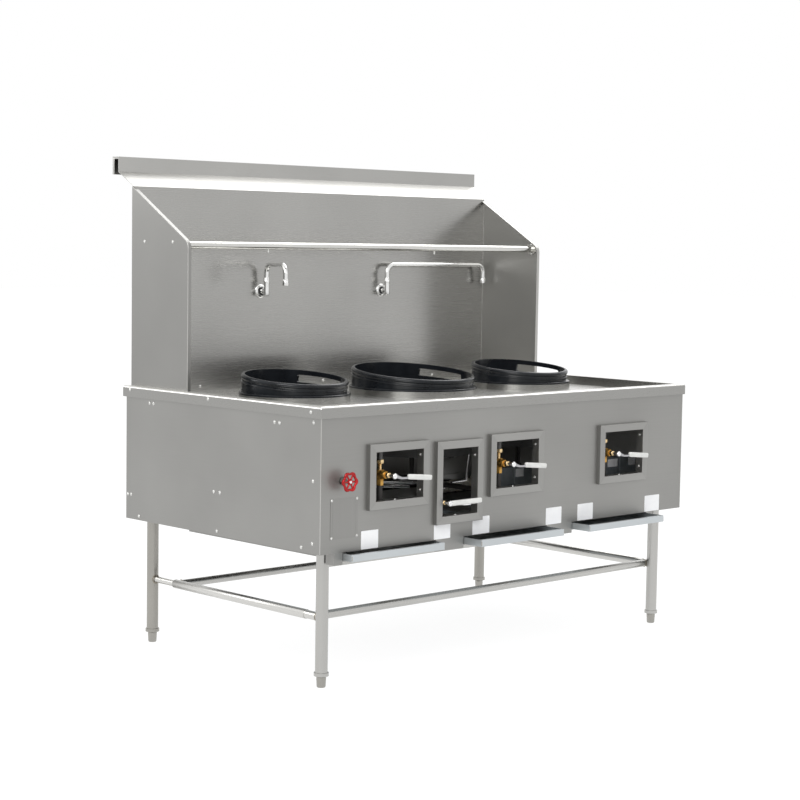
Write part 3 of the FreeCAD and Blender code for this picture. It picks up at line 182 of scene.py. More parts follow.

# %% [markdown]
# The range mixes a few finishes. Sheets whose length runs along the front are ground along X, side sheets
# along Y and the legs along Z. The stainless parts share one steel colour, made lighter or darker part by
# part: that is painted light and shade for how the light falls on each. Cast rings are nearly black with a
# grey bloom, valves are plain brass, faucets are plated, trays are dull zinc and the water wheel is red
# enamel.

# %% Finishes of the imported parts
STEEL = (0.325, 0.322, 0.310)
GRIND = 0.00001
# Painted light and shade: the tone makes each part a lighter or darker copy of STEEL for how the light falls
# on it, the rail and side stretchers nearly twice as light, the right cheek half again lighter than the
# left.
steels_with_painted_tones = {  # tone beside STEEL, grain, roughness, depth of the grain
    "front": (0.98, "x", 0.44, GRIND),
    "splash": (1.14, "x", 0.25, GRIND * 0.3),
    "channel": (1.22, "x", 0.30, GRIND),
    "rail": (1.9, "x", 0.22, GRIND),
    "side": (0.97, "y", 0.36, GRIND),
    "side_bar": (1.9, "y", 0.32, GRIND),
    "cheek": (0.90, "z", 0.36, GRIND),
    "far_cheek": (1.35, "z", 0.36, GRIND),
    "upright": (1.42, "z", 0.30, GRIND),
    "bright": (1.5, "x", 0.26, GRIND),
}
finishes = {part: satin(f"steel_{part}", shade(STEEL, factor), along, roughness, depth)
            for part, (factor, along, roughness, depth) in steels_with_painted_tones.items()}
finishes |= {
    "deck": satin("steel_deck", STEEL, "x", 0.28, GRIND * 0.3),
    # Painted shade: the rear legs and feet take a slightly warmer steel, a good deal darker than the front
    # ones.
    "rear_upright": satin("steel_rear_upright", shade((0.325, 0.316, 0.292), 1.08), "z", 0.30),
    "inside": satin("steel_inside", (0.30, 0.30, 0.29), "x", 0.45),
    "zinc": satin("zinc_sheet", (0.54, 0.57, 0.585), "x", 0.42),
    "iron": cast("burner_iron", (0.045, 0.042, 0.04), 0.6),
    "ring": cast("ring_iron", (0.012, 0.013, 0.015), 0.38),
    "refractory": cast("chamber_shell", (0.16, 0.16, 0.155), 0.7, 120),
    "pipe": cast("black_pipe", (0.09, 0.088, 0.085), 0.5, 400),
    "dull": machined("tap_steel", (0.24, 0.235, 0.225), 0.35, "y"),
    "brass": machined("valve_brass", (0.62, 0.42, 0.15), 0.28),
    "chrome": machined("faucet_plating", (0.78, 0.78, 0.78), 0.1),
    "grip": machined("lever_metal", (0.62, 0.62, 0.60), 0.34, "x"),
    "enamel": cast("wheel_enamel", (0.42, 0.012, 0.014), 0.3, 500),
}
finish_of = {
    "front": ["front_panel", "rear_panel"] + [f"tray_hanger_{n}" for n in (1, 2, 3, 4)],
    "deck": ["deck_pan"],
    "splash": ["splash_panel"],
    "channel": ["top_channel"],
    "rail": ["pot_rail"],
    "side": ["left_side_panel", "right_side_panel"],
    "side_bar": ["left_stretcher", "right_stretcher"],
    "cheek": ["left_cheek"],
    "far_cheek": ["right_cheek"],
    "upright": [f"{part}_front_{side}" for part in ("leg", "foot") for side in ("left", "right")],
    "rear_upright": [f"{part}_rear_{side}" for part in ("leg", "foot") for side in ("left", "right")],
    "bright": ["front_stretcher", "rear_stretcher"] + [f"window_frame_{n}" for n in (1, 2, 3, 4)],
    "inside": ["base_frame"],
    "zinc": [f"drip_tray_{n}" for n in (1, 2, 3)],
    "iron": [f"burner_{side}" for side in ("left", "middle", "right")],
    "ring": [f"wok_ring_{side}" for side in ("left", "middle", "right")],
    "refractory": [f"burner_bowl_{side}" for side in ("left", "middle", "right")],
    "pipe": ["gas_manifold"],
    "brass": ["gas_valve_1", "gas_valve_2", "gas_valve_3", "pilot_valve"],
    "dull": ["water_tap"],
    "chrome": ["faucet_short", "faucet_long", "spout_short", "spout_long", "water_pipe"],
    "grip": ["gas_lever_1", "gas_lever_2", "gas_lever_3", "pilot_lever"],
    "enamel": ["hand_wheel"],
}
deck_steel = finishes["deck"].node_tree
# Painted light: the deck's upward faces are painted more than twice as bright as its front, for the light
# from above.
PAINTED_TOP_LIGHT, PAINTED_END_LIGHT = 2.2, 0.15
painted_light_above(deck_steel, deck_steel.nodes["Principled BSDF"], STEEL, PAINTED_TOP_LIGHT, PAINTED_END_LIGHT)
for finish, names in finish_of.items():
    for name in names:
        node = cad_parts[name]
        node.data.materials.clear()
        node.data.materials.append(finishes[finish])
bare = set(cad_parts) - {name for names in finish_of.values() for name in names}
print("parts without a finish:", sorted(bare))

# %% [markdown]
# The imported parts stand still, and what a fitter would add comes on top of them. Every added piece is a
# mesh of its own that rides on one body of the range and names an imported part, so one short helper does
# this for all. A piece that shows the same part in finer form also hides it.

# %% Adding a piece
def finished(bm, name):
    """Turns a bmesh into a mesh with its faces pointing outward."""
    bmesh.ops.remove_doubles(bm, verts=bm.verts, dist=1e-6)
    bmesh.ops.recalc_face_normals(bm, faces=bm.faces)
    mesh = bpy.data.meshes.new(name)
    bm.to_mesh(mesh)
    bm.free()
    return mesh


def add_piece(name, shape, material, body, slot, smooth=True, instead=False):
    """Lets a bmesh or a mesh ride on a body of the range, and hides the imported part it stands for."""
    mesh = shape if isinstance(shape, bpy.types.Mesh) else finished(shape, name)
    piece = bpy.data.objects.new(name, mesh)
    bpy.context.scene.collection.objects.link(piece)
    if not mesh.materials:
        mesh.materials.append(material)
    if smooth:
        mesh.shade_smooth()
        mesh.set_sharp_from_angle(angle=math.radians(38))
    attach(piece, body)
    if instead:
        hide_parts(slot)
    return piece

# %% [markdown]
# Screws, feet, jets, nuts and plates are turned shapes. A lathe takes a profile of (radius, height) pairs
# and turns it about an axis. The number of sides sets what comes out: 6 gives a nut, 48 a round. Most
# shapes here are loops of points with a band of faces between each two, so the band is a helper too.

# %% Lathe
def band(bm, low, high):
    """Four-sided faces between two closed loops with the same number of points."""
    turned_low, turned_high = low[1:] + low[:1], high[1:] + high[:1]
    return [bm.faces.new(corners) for corners in zip(low, turned_low, turned_high, high)]


def turn_profile(bm, profile, place, axis=(0, 0, 1), sides=32):
    """Adds a turned shape to a bmesh. Heights run from place along the axis."""
    heading = Vector(axis).normalized()
    frame_turn = heading.to_track_quat("Z", "Y").to_matrix()
    rings = []
    for radius, height in profile:
        loop = []
        for side in range(sides):
            angle = 2 * math.pi * side / sides
            spot = Vector((radius * math.cos(angle), radius * math.sin(angle), height))
            loop.append(bm.verts.new(Vector(place) + frame_turn @ spot))
        rings.append(loop)
    for low, high in zip(rings, rings[1:]):
        band(bm, low, high)
    if profile[0][0] > 1e-6:
        bm.faces.new(rings[0][::-1])
    if profile[-1][0] > 1e-6:
        bm.faces.new(rings[-1])


def nut(bm, radius, length, place, axis=(0, 0, 1)):
    """Six-sided nut with chamfered corners."""
    edge = min(0.12 * radius, 0.3 * length)
    turn_profile(bm, [(radius * 0.9, 0), (radius, edge), (radius, length - edge), (radius * 0.9, length)],
                 place, axis, 6)

# %% [markdown]
# The sheets are held by small pan-head screws. They are easy to forget and they give the panels their
# scale, so each is a turned head on a thin washer, with all the screws of one panel in one mesh.

# %% Panel screws
bright_screw = machined("screw_steel", (0.66, 0.66, 0.64), 0.25)
HEAD = [(0.0062, 0), (0.0062, 0.0006), (0.0049, 0.0007), (0.0047, 0.0016), (0.0036, 0.0026),
        (0.0015, 0.0031), (0.0009, 0.0022), (0, 0.0022)]


def screw_row(name, spots, outward, slot, scale=1.0):
    bm = bmesh.new()
    for spot in spots:
        turn_profile(bm, [(r * scale, h * scale) for r, h in HEAD], spot, outward, 14)
    return add_piece(name, bm, bright_screw, "range_body", slot)


side_spots = [(0.478, 0.902), (0.034, 0.900), (-0.491, 0.895), (-0.495, 0.862), (-0.495, 0.676),
              (-0.494, 0.477), (-0.441, 0.459), (-0.007, 0.459), (0.434, 0.459), (0.374, 0.861),
              (0.351, 0.861), (-0.303, 0.848), (-0.328, 0.848), (0.500, 0.531), (0.481, 0.531),
              (0.011, 0.590), (-0.022, 0.590)]
SIDES = (("left", -1), ("right", 1))
RIM_BOTTOM = 0.876


def outer_x(node, sign):
    """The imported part's outermost X on the left, -1, or the right, 1."""
    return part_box(node)[(sign + 1) // 2][0]


for side, sign in SIDES:
    panel_x, cheek_x = outer_x(f"{side}_side_panel", sign), outer_x(f"{side}_cheek", sign)
    rim_x = outer_x("deck_pan", sign)
    spots = [(rim_x if z > RIM_BOTTOM else panel_x, y, z) for y, z in side_spots]
    screw_row(f"{side}_panel_screws", spots, (sign, 0, 0), f"{side}_side_panel")
    spots = [(cheek_x, y, 1.420) for y in (0.442, 0.280)]
    screw_row(f"{side}_cheek_screws", spots, (sign, 0, 0), f"{side}_cheek")
splash_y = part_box("splash_panel")[0][1]
screw_row("splash_base_screws", [(x, splash_y, 0.898) for x in (-0.586, 0.008, 0.595)], (0, -1, 0),
          "splash_panel")
rear_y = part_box("rear_panel")[1][1]
rear_spots = [(x, rear_y, z) for x in (-0.86, -0.43, 0.0, 0.43, 0.70) for z in (0.462, 0.862)]
screw_row("rear_panel_screws", rear_spots, (0, 1, 0), "rear_panel")
print("screws on the side panels:", 2 * len(side_spots))

# %% [markdown]
# A data plate sits under the water wheel. It stays bare: a thin sheet with round corners, a shallow
# border line and a rivet in each corner. The plain white cards along the lower edge are thinner still.

# %% Bare plate and cards
def rounded_loop(half_wide, half_high, corner, steps=4):
    """Points round a rectangle with round corners, about its middle."""
    points = []
    for across, rise, start in ((1, 1, 0), (-1, 1, 90), (-1, -1, 180), (1, -1, 270)):
        for step in range(steps + 1):
            angle = math.radians(start + 90 * step / steps)
            points.append((across * (half_wide - corner) + corner * math.cos(angle),
                           rise * (half_high - corner) + corner * math.sin(angle)))
    return points


def flat_card(bm, x, z, y, thick, corner, steps=5):
    """Rounded rectangle in the XZ plane that stands in front of y."""
    middle_x, middle_z = (x[0] + x[1]) / 2, (z[0] + z[1]) / 2
    loop = rounded_loop((x[1] - x[0]) / 2, (z[1] - z[0]) / 2, corner, steps)
    back = [bm.verts.new((middle_x + px, y, middle_z + pz)) for px, pz in loop]
    front = [bm.verts.new((middle_x + px, y - thick, middle_z + pz)) for px, pz in loop]
    bm.faces.new(front)
    bm.faces.new(back[::-1])
    band(bm, back, front)


panel_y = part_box("front_panel")[0][1]
plate_x, plate_z, PLATE = (-0.864, -0.746), (0.489, 0.619), 0.0008
BORDER, LINE, LINE_PROUD = 0.009, 0.0006, 0.0002
bm = bmesh.new()
flat_card(bm, plate_x, plate_z, panel_y, PLATE, 0.004)
low_x, high_x = plate_x[0] + BORDER, plate_x[1] - BORDER
low_z, high_z = plate_z[0] + BORDER, plate_z[1] - BORDER
for x, z in (((low_x, high_x), (low_z, low_z + LINE)), ((low_x, high_x), (high_z - LINE, high_z)),
             ((low_x, low_x + LINE), (low_z, high_z)), ((high_x - LINE, high_x), (low_z, high_z))):
    flat_card(bm, x, z, panel_y - PLATE, LINE_PROUD, LINE_PROUD, 2)
plate_finish = satin("plate_steel", shade(STEEL, 0.92), "z", 0.42)
add_piece("bare_data_plate", bm, plate_finish, "range_body", "front_panel")
RIVET_IN = 0.005
rivets = [(x, panel_y - PLATE, z) for x in (plate_x[0] + RIVET_IN, plate_x[1] - RIVET_IN)
          for z in (plate_z[0] + RIVET_IN, plate_z[1] - RIVET_IN)]
screw_row("plate_rivets", rivets, (0, -1, 0), "front_panel", 0.75)
card_white = mottled("card_white", (0.95, 0.95, 0.95), 0.0, 0.5, (900, 2.0, 0.15, 0.00003), 25,
                     (0.92, 0.92, 0.93), (0.98, 0.98, 0.98))
bm = bmesh.new()
for x in ((-0.731, -0.656), (-0.403, -0.326), (-0.220, -0.137), (0.150, 0.232), (0.318, 0.402),
          (0.695, 0.780)):
    flat_card(bm, x, (0.4455, 0.505), panel_y, 0.0003, 0.003)
add_piece("blank_cards", bm, card_white, "range_body", "front_panel")

# %% [markdown]
# Each valve window is lined by a frame folded from one strip of sheet: an outer return on the panel, a
# flat face and an inner return into the cabinet, mitred and ground at the corners. The imported frame has
# sharp folds. This one follows the same section with rounded folds, because the rounded edges catch the
# light, and its upright sides get their own grain so that the mitres show.

# %% Folded window frames
# Painted light: the level sides take the steel a little lighter and the upright sides a little darker; the
# change of grain at the mitres is real.
frame_flat = satin("frame_steel_level", shade(STEEL, 1.04), "x", 0.40)
frame_upright = satin("frame_steel_upright", shade(STEEL, 0.98), "z", 0.40)
PROUD, RETURN, SHEET, FOLD, FACE = 0.015, 0.017, 0.002, 0.0018, 0.027
fold_angles = [math.radians(22.5 * step) for step in range(5)]
section = [(FACE, 0.0)]
section += [(FACE - FOLD + FOLD * math.cos(a), -PROUD + FOLD - FOLD * math.sin(a)) for a in fold_angles]
section += [(FOLD - FOLD * math.sin(a), -PROUD + FOLD - FOLD * math.cos(a)) for a in fold_angles]
section += [(0.0, RETURN), (SHEET, RETURN), (SHEET, -PROUD + SHEET), (FACE - SHEET, -PROUD + SHEET),
            (FACE - SHEET, 0.0)]
CORNERS = ((-1, -1), (1, -1), (1, 1), (-1, 1))
for number in (1, 2, 3, 4):
    low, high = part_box(f"window_frame_{number}")
    centre_x, centre_z = (low[0] + high[0]) / 2, (low[2] + high[2]) / 2
    half_x, half_z = (high[0] - low[0]) / 2 - FACE, (high[2] - low[2]) / 2 - FACE
    bm = bmesh.new()
    loops = [[bm.verts.new((centre_x + across * (half_x + out), panel_y + depth,
                            centre_z + rise * (half_z + out))) for across, rise in CORNERS]
             for out, depth in section]
    for loop, following in zip(loops, loops[1:] + loops[:1]):
        for side, face in enumerate(band(bm, loop, following)):
            face.material_index = side % 2
    mesh = finished(bm, f"folded_frame_{number}")
    mesh.materials.append(frame_flat)
    mesh.materials.append(frame_upright)
    add_piece(f"folded_frame_{number}", mesh, frame_flat, "range_body", f"window_frame_{number}",
              instead=True)
    wall = [(centre_x + half_x, panel_y + 0.003, centre_z + share * half_z) for share in (0.74, -0.72)]
    screw_row(f"frame_{number}_wall_screws", wall, (-1, 0, 0), f"window_frame_{number}", 0.9)
    sill = [(centre_x - 0.012, panel_y - 0.002, centre_z - half_z)]
    screw_row(f"frame_{number}_sill_screw", sill, (0, 0, 1), f"window_frame_{number}", 0.9)
    bm = bmesh.new()
    for across, rise in CORNERS:
        diagonal = Vector((across, 0, rise))
        inner_end = Vector((centre_x + across * half_x, 0, centre_z + rise * half_z))
        outer_end = inner_end + diagonal * (FACE - FOLD)
        inner_end += diagonal * FOLD
        half_line = Vector((-diagonal.z, 0, diagonal.x)).normalized() * 0.0004
        outline = (inner_end - half_line, inner_end + half_line, outer_end + half_line,
                   outer_end - half_line)
        bottom = [bm.verts.new((p.x, panel_y - PROUD + 0.0002, p.z)) for p in outline]
        top = [bm.verts.new((p.x, panel_y - PROUD - 0.0001, p.z)) for p in outline]
        band(bm, bottom, top)
        bm.faces.new(top)
        bm.faces.new(bottom[::-1])
    add_piece(f"frame_{number}_mitres", bm, plate_finish, "range_body",
              f"window_frame_{number}", smooth=False)
print("window frames folded from", len(section), "section points")

# %% [markdown]
# The three wok rings are iron castings. Their lip slopes up toward the back, while the foot lies flat on
# the seat. The ring is turned about a tilted axis and its lower end is pulled straight down to the seat.
# A box with round corners is then taken out of the wall for the flame gap.

# %% Wok rings
ring_iron = mottled("ring_casting", (0.008, 0.009, 0.011), 0.0, 0.2, (90, 2.0, 0.03, 0.0001), 18,
                    (0.006, 0.007, 0.009), (0.013, 0.015, 0.018))
tree = ring_iron.node_tree
shader = tree.nodes["Principled BSDF"]
shader.inputs["Specular IOR Level"].default_value = 0.32
tree.links.new(spread(tree, noise_field(tree, 60), 0.16, 0.24), shader.inputs["Roughness"])
SLOPE = math.radians(5.1)
WALL, RISE, LIP, BEAD, BEAD_DROP = 0.0045, 0.052, 0.0085, 0.0026, 0.017
seat_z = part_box("wok_ring_left")[0][2]
print("seat of the rings at", round(seat_z, 4))


def ring_section():
    """Closed section as (outward from the lip circle, height from the lip's centre)."""
    points = []
    for step in range(21):
        angle = math.radians(200 - 250 * step / 20)
        points.append((LIP * math.cos(angle), LIP * math.sin(angle)))
    points = [p for p in points if p[0] > -WALL]
    points.insert(0, (-WALL, points[0][1]))
    points.append((WALL, -LIP - 0.001))
    for step in range(9):
        angle = math.radians(90 - 180 * step / 8)
        points.append((WALL + BEAD * math.cos(angle), -BEAD_DROP + BEAD * math.sin(angle)))
    return points


def wok_ring(side, lip_radius, foot_radius):
    low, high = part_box(f"wok_ring_{side}")
    centre = Vector(((low[0] + high[0]) / 2, (low[1] + high[1]) / 2, seat_z + RISE))
    tilt = Matrix.Rotation(SLOPE, 3, "X")
    down = tilt @ Vector((0, 0, -1))
    steps = 144
    section = ring_section()
    top_of_foot, floor_of_foot, break_edge = seat_z + 0.007, seat_z + 0.0002, 0.0015
    bm = bmesh.new()
    columns = []
    for step in range(steps):
        angle = 2 * math.pi * step / steps
        outward = Vector((math.cos(angle), math.sin(angle), 0))
        column = [centre + tilt @ (outward * (lip_radius + out) + Vector((0, 0, height)))
                  for out, height in section]
        outer = centre + tilt @ (outward * (lip_radius + WALL))
        outer += down * ((outer.z - top_of_foot) / -down.z)
        flange = Vector((centre.x, centre.y, 0)) + outward * foot_radius
        flange_top = flange - outward * break_edge
        inner = centre + tilt @ (outward * (lip_radius - WALL))
        inner += down * ((inner.z - floor_of_foot) / -down.z)
        column += [outer, Vector((flange_top.x, flange_top.y, top_of_foot)),
                   Vector((flange.x, flange.y, top_of_foot - break_edge)),
                   Vector((flange.x, flange.y, floor_of_foot)), inner]
        columns.append([bm.verts.new(point) for point in column])
    for here, there in zip(columns, columns[1:] + columns[:1]):
        band(bm, here, there)
    ring = finished(bm, f"ring_blank_{side}")
    cutter = bmesh.new()
    half_wide, half_high, gap_corner = 0.093, 0.0135, 0.006
    loop = rounded_loop(half_wide, half_high, gap_corner, 5)
    turn = tilt @ Matrix.Rotation(math.radians(14.5), 3, "Z")
    drop = -LIP - half_high
    inside, outside = [[cutter.verts.new(centre + turn @ Vector((reach, y, drop + z))) for y, z in loop]
                       for reach in (0.02, lip_radius + 0.03)]
    cutter.faces.new(inside[::-1])
    cutter.faces.new(outside)
    band(cutter, inside, outside)
    tool = bpy.data.objects.new("gap_tool", finished(cutter, "gap_tool"))
    blank = bpy.data.objects.new("ring_blank", ring)
    for item in (tool, blank):
        bpy.context.scene.collection.objects.link(item)
    step = blank.modifiers.new("gap", "BOOLEAN")
    step.object = tool
    step.operation = "DIFFERENCE"
    step.solver = "EXACT"
    bpy.context.view_layer.update()
    mesh = bpy.data.meshes.new_from_object(blank.evaluated_get(bpy.context.evaluated_depsgraph_get()))
    for item in (tool, blank):
        bpy.data.objects.remove(item)
    mesh.materials.clear()
    add_piece(f"cast_ring_{side}", mesh, ring_iron, f"ring_{side}", f"wok_ring_{side}", instead=True)
    print(f"cast_ring_{side}:", len(mesh.polygons), "faces")


for side, lip_radius in (("left", 0.178), ("middle", 0.218), ("right", 0.178)):
    wok_ring(side, lip_radius, lip_radius + 0.015)

# %% [markdown]
# Each lever valve is a brass forging with a union nut on a threaded neck above it, a long nut below and a
# bonnet with a gland nut toward the front. Nuts are six-sided with chamfered corners, and the neck shows
# its thread, so these two shapes carry the whole piece.

# %% Lever valves
forged_brass = machined("forged_brass", (0.55, 0.32, 0.085), 0.34)
clean_brass = machined("nut_brass", (0.80, 0.60, 0.33), 0.24)
VALVE_LINE = -0.500


def threaded(bm, radius, length, place, axis=(0, 0, 1), pitch=0.0018):
    """Rod with a shallow thread, drawn as equal ridges."""
    turns = int(length / pitch)
    profile = [(radius * 0.9, 0)]
    for turn in range(turns):
        profile += [(radius, (turn + 0.25) * length / turns),
                    (radius * 0.9, (turn + 0.9) * length / turns)]
    turn_profile(bm, profile, place, axis, 20)


def lever_valve(name, x, z, body, union, bonnet, gland):
    forging, nuts = bmesh.new(), bmesh.new()
    nut(forging, body, 0.030, (x, VALVE_LINE, z - 0.015))
    threaded(nuts, 0.0066, 0.020, (x, VALVE_LINE, z + 0.015))
    nut(nuts, union, 0.013, (x, VALVE_LINE, z + 0.035))
    nut(forging, union, 0.022, (x, VALVE_LINE, z - 0.037))
    nut(forging, bonnet, 0.021, (x, VALVE_LINE, z), (0, -1, 0))
    turn_profile(forging, [(bonnet * 0.92, 0.021), (bonnet * 0.86, 0.026), (bonnet * 0.72, 0.030)],
                 (x, VALVE_LINE, z), (0, -1, 0), 28)
    nut(nuts, gland, 0.0155, (x, VALVE_LINE - 0.030, z), (0, -1, 0))
    add_piece(f"{name}_forging", forging, forged_brass, "range_body", name, instead=True)
    add_piece(f"{name}_nuts", nuts, clean_brass, "range_body", name, instead=True)


VALVES = [(-0.624, 0.679), (-0.065, 0.679), (0.491, 0.679)]
PILOT = (-0.368, 0.569)
for number, (x, z) in enumerate(VALVES, 1):
    lever_valve(f"gas_valve_{number}", x, z, 0.015, 0.0125, 0.016, 0.010)
lever_valve("pilot_valve", *PILOT, 0.0095, 0.012, 0.009, 0.008)

# %% [markdown]
# A gas lever has three parts: a bright domed hub on the stem, a thin pressed arm that dips on its way out
# and a broad pale grip with rounded edges. The grip is a skin over rounded rectangles, smaller at both
# ends, which rounds it without a modifier. The pilot's lever is one straight grip.

# %% Levers
hub_metal = machined("hub_plating", (0.80, 0.80, 0.80), 0.14)
arm_metal = satin("pressed_arm", (0.42, 0.42, 0.43), "x", 0.30)
grip_pale = mottled("pale_grip", (0.74, 0.74, 0.71), 0.25, 0.42, (160, 4.0, 0.25, 0.0002), (22, 60, 60),
                    (0.66, 0.66, 0.64), (0.80, 0.80, 0.77))
LEVER_PLANE = -0.571
DROOP = math.radians(5.5)


def skin(bm, stations, place=lambda x, y, z: (x, y, z)):
    """Skins rounded rectangles given as (position, half width, half height, corner radius)."""
    loops = []
    for spot, half_y, half_z, corner in stations:
        loops.append([bm.verts.new(place(spot[0], spot[1] + y, spot[2] + z))
                      for y, z in rounded_loop(half_y, half_z, corner)])
    for low, high in zip(loops, loops[1:]):
        band(bm, low, high)
    bm.faces.new(loops[0][::-1])
    bm.faces.new(loops[-1])


def grip_stations(start, length, half_z):
    shape = [(0.0, 0.60), (0.0012, 0.85), (0.004, 0.98), (0.012, 1.0)]
    ends = [(start + offset, size) for offset, size in shape]
    ends += [(start + length / 2, 1.0)] + [(start + length - offset, size) for offset, size in shape[::-1]]
    return [((spot, 0, 0), 0.005 * size, half_z * size, 0.0042 * size) for spot, size in ends]


def lever(name, body, x, z, start, length, droop, half_z):
    def place(along, out, rise):
        return (x + along * math.cos(droop) + rise * math.sin(droop), LEVER_PLANE + out,
                z - along * math.sin(droop) + rise * math.cos(droop))

    bm = bmesh.new()
    skin(bm, grip_stations(start, length, half_z), place)
    add_piece(f"{name}_grip", bm, grip_pale, body, name, instead=True)
    bm = bmesh.new()
    turn_profile(bm, [(0.0048, -0.0345), (0.0048, -0.0075), (0.0084, -0.007), (0.0098, -0.004),
                      (0.0098, 0.0025), (0.0082, 0.0052), (0.0048, 0.0068), (0.0020, 0.007), (0, 0.0066)],
                 (x, LEVER_PLANE, z), (0, -1, 0), 32)
    add_piece(f"{name}_hub", bm, hub_metal, body, name, instead=True)
    if start > 0:
        bm = bmesh.new()
        line = [(0.006, 0.001, 0.0062), (0.018, -0.003, 0.0048), (0.032, -0.0055, 0.0036),
                (0.048, -0.0048, 0.0034), (start + 0.003, -0.003, 0.0036)]
        skin(bm, [((along, 0, dip), 0.0022, half, 0.0008) for along, dip, half in line], place)
        add_piece(f"{name}_arm", bm, arm_metal, body, name, instead=True)


for number, (x, z) in enumerate(VALVES, 1):
    lever(f"gas_lever_{number}", f"lever_{number}", x, z, 0.059, 0.108, DROOP, 0.009)
lever("pilot_lever", "lever_4", *PILOT, 0.0, 0.148, 0.0, 0.009)

# %% [markdown]
# The water wheel is a red enamelled casting. Its rim swells into six lobes with a spoke to each, so the
# rim is a round bar swept along a waving circle. A bright nut holds it on a dark stem.

# %% Water wheel
def sweep(bm, path, radii, sides=16, closed=False):
    """Round bar along a path of points, with one radius or a list of them."""
    count = len(path)
    radii = radii if isinstance(radii, list) else [radii] * count
    loops = []
    across = None
    for index, spot in enumerate(path):
        after = path[(index + 1) % count] if closed or index + 1 < count else spot
        before = path[index - 1] if closed or index else spot
        heading = (Vector(after) - Vector(before)).normalized()
        if across is None:
            across = heading.orthogonal().normalized()
        across = (across - heading * across.dot(heading)).normalized()
        other = heading.cross(across)
        loop = []
        for side in range(sides):
            angle = 2 * math.pi * side / sides
            outward = math.cos(angle) * across + math.sin(angle) * other
            loop.append(bm.verts.new(Vector(spot) + radii[index] * outward))
        loops.append(loop)
    pairs = list(zip(loops, loops[1:])) + ([(loops[-1], loops[0])] if closed else [])
    for low, high in pairs:
        band(bm, low, high)
    if not closed:
        bm.faces.new(loops[0][::-1])
        bm.faces.new(loops[-1])


WHEEL = Vector((-0.814, -0.566, 0.674))
RIM_RADIUS, RIM_BAR, LOBES = 0.0268, 0.0047, 6
bm = bmesh.new()
rim, sizes = [], []
for step in range(96):
    angle = 2 * math.pi * step / 96
    lobe = math.cos(LOBES * angle)
    rim.append(WHEEL + (RIM_RADIUS + 0.0018 * lobe) * Vector((math.cos(angle), 0, math.sin(angle))))
    sizes.append(RIM_BAR + 0.0006 * lobe)
sweep(bm, rim, sizes, 14, closed=True)
for spoke in range(LOBES):
    angle = 2 * math.pi * spoke / LOBES
    ray = Vector((math.cos(angle), 0, math.sin(angle)))
    sweep(bm, [WHEEL + ray * r for r in (0.005, 0.010, 0.016, 0.022, 0.026)],
          [0.0040, 0.0034, 0.0028, 0.0030, 0.0038], 10)
turn_profile(bm, [(0.0075, -0.0055), (0.0088, -0.0045), (0.0088, 0.0035), (0.0075, 0.0052), (0, 0.0052)],
             WHEEL, (0, -1, 0), 28)
add_piece("wheel_casting", bm, finishes["enamel"], "wheel", "hand_wheel", instead=True)
bm = bmesh.new()
nut(bm, 0.0052, 0.0022, WHEEL + Vector((0, -0.0032, 0)), (0, -1, 0))
add_piece("wheel_nut", bm, hub_metal, "wheel", "hand_wheel", instead=True)
stem_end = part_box("hand_wheel")[1][1]
stem_steel = machined("dull_stem", (0.30, 0.29, 0.27), 0.35, "y")
bm = bmesh.new()
turn_profile(bm, [(0.0045, 0), (0.0045, stem_end - WHEEL.y)], WHEEL, (0, 1, 0), 20)
add_piece("wheel_stem", bm, stem_steel, "wheel", "hand_wheel", instead=True)
bm = bmesh.new()
nut(bm, 0.0129, 0.0098, (WHEEL.x, panel_y, WHEEL.z), (0, -1, 0))
add_piece("tap_gland", bm, stem_steel, "range_body", "water_tap")
print("wheel rim swept through", len(rim), "points")

# %% [markdown]
# The faucets stand on the splash back. Each has a domed escutcheon with a dark seal behind it, a short
# nipple and a slim plated body with a packing nut on top, in which the spout turns.

# %% Faucet bodies
plating = machined("bright_plating", (0.78, 0.78, 0.77), 0.17)
seal = mottled("dark_seal", (0.02, 0.02, 0.02), 0.0, 0.6, (700, 3.0, 0.2, 0.0001), 90,
               (0.015, 0.015, 0.015), (0.035, 0.035, 0.035))
FAUCETS = {"short": (-0.308, 0.180, math.radians(-107)), "long": (0.304, 0.540, 0.0)}
FAUCET_Y, INLET_Z = 0.471, 1.242
for name, (x, reach, heading) in FAUCETS.items():
    inlet = (x, splash_y, INLET_Z)
    bm = bmesh.new()
    turn_profile(bm, [(0.0248, 0.0012), (0.0250, 0.0022), (0.0236, 0.0040), (0.0190, 0.0058),
                      (0.0125, 0.0068), (0.0100, 0.0072), (0.0100, splash_y - FAUCET_Y)],
                 inlet, (0, -1, 0), 48)
    turn_profile(bm, [(0, 0), (0.0070, 0.0004), (0.0095, 0.0018), (0.0104, 0.0045), (0.0106, 0.0280),
                      (0.0100, 0.0480), (0.0112, 0.0490), (0.0112, 0.0600), (0.0100, 0.0620)],
                 (x, FAUCET_Y, INLET_Z - 0.018), sides=40)
    add_piece(f"faucet_body_{name}", bm, plating, "range_body", f"faucet_{name}", instead=True)
    bm = bmesh.new()
    turn_profile(bm, [(0.0246, 0.0), (0.0246, 0.0012), (0.0200, 0.0012)], inlet, (0, -1, 0), 48)
    turn_profile(bm, [(0.0152, 0.0066), (0.0152, 0.0080), (0.0105, 0.0095)], inlet, (0, -1, 0), 40)
    add_piece(f"faucet_seal_{name}", bm, seal, "range_body", f"faucet_{name}", instead=True)

# %% [markdown]
# The spouts are bent tube. The path is a straight rise, a quarter bend, the reach, a second quarter bend
# and a short drop to the outlet, which has a grooved collar and an open bore.

# %% Swing spouts
SPOUT_BASE, SPOUT_TOP, BEND, OUTLET, NUT_TOP = 1.276, 1.343, 0.034, 1.268, 1.2862


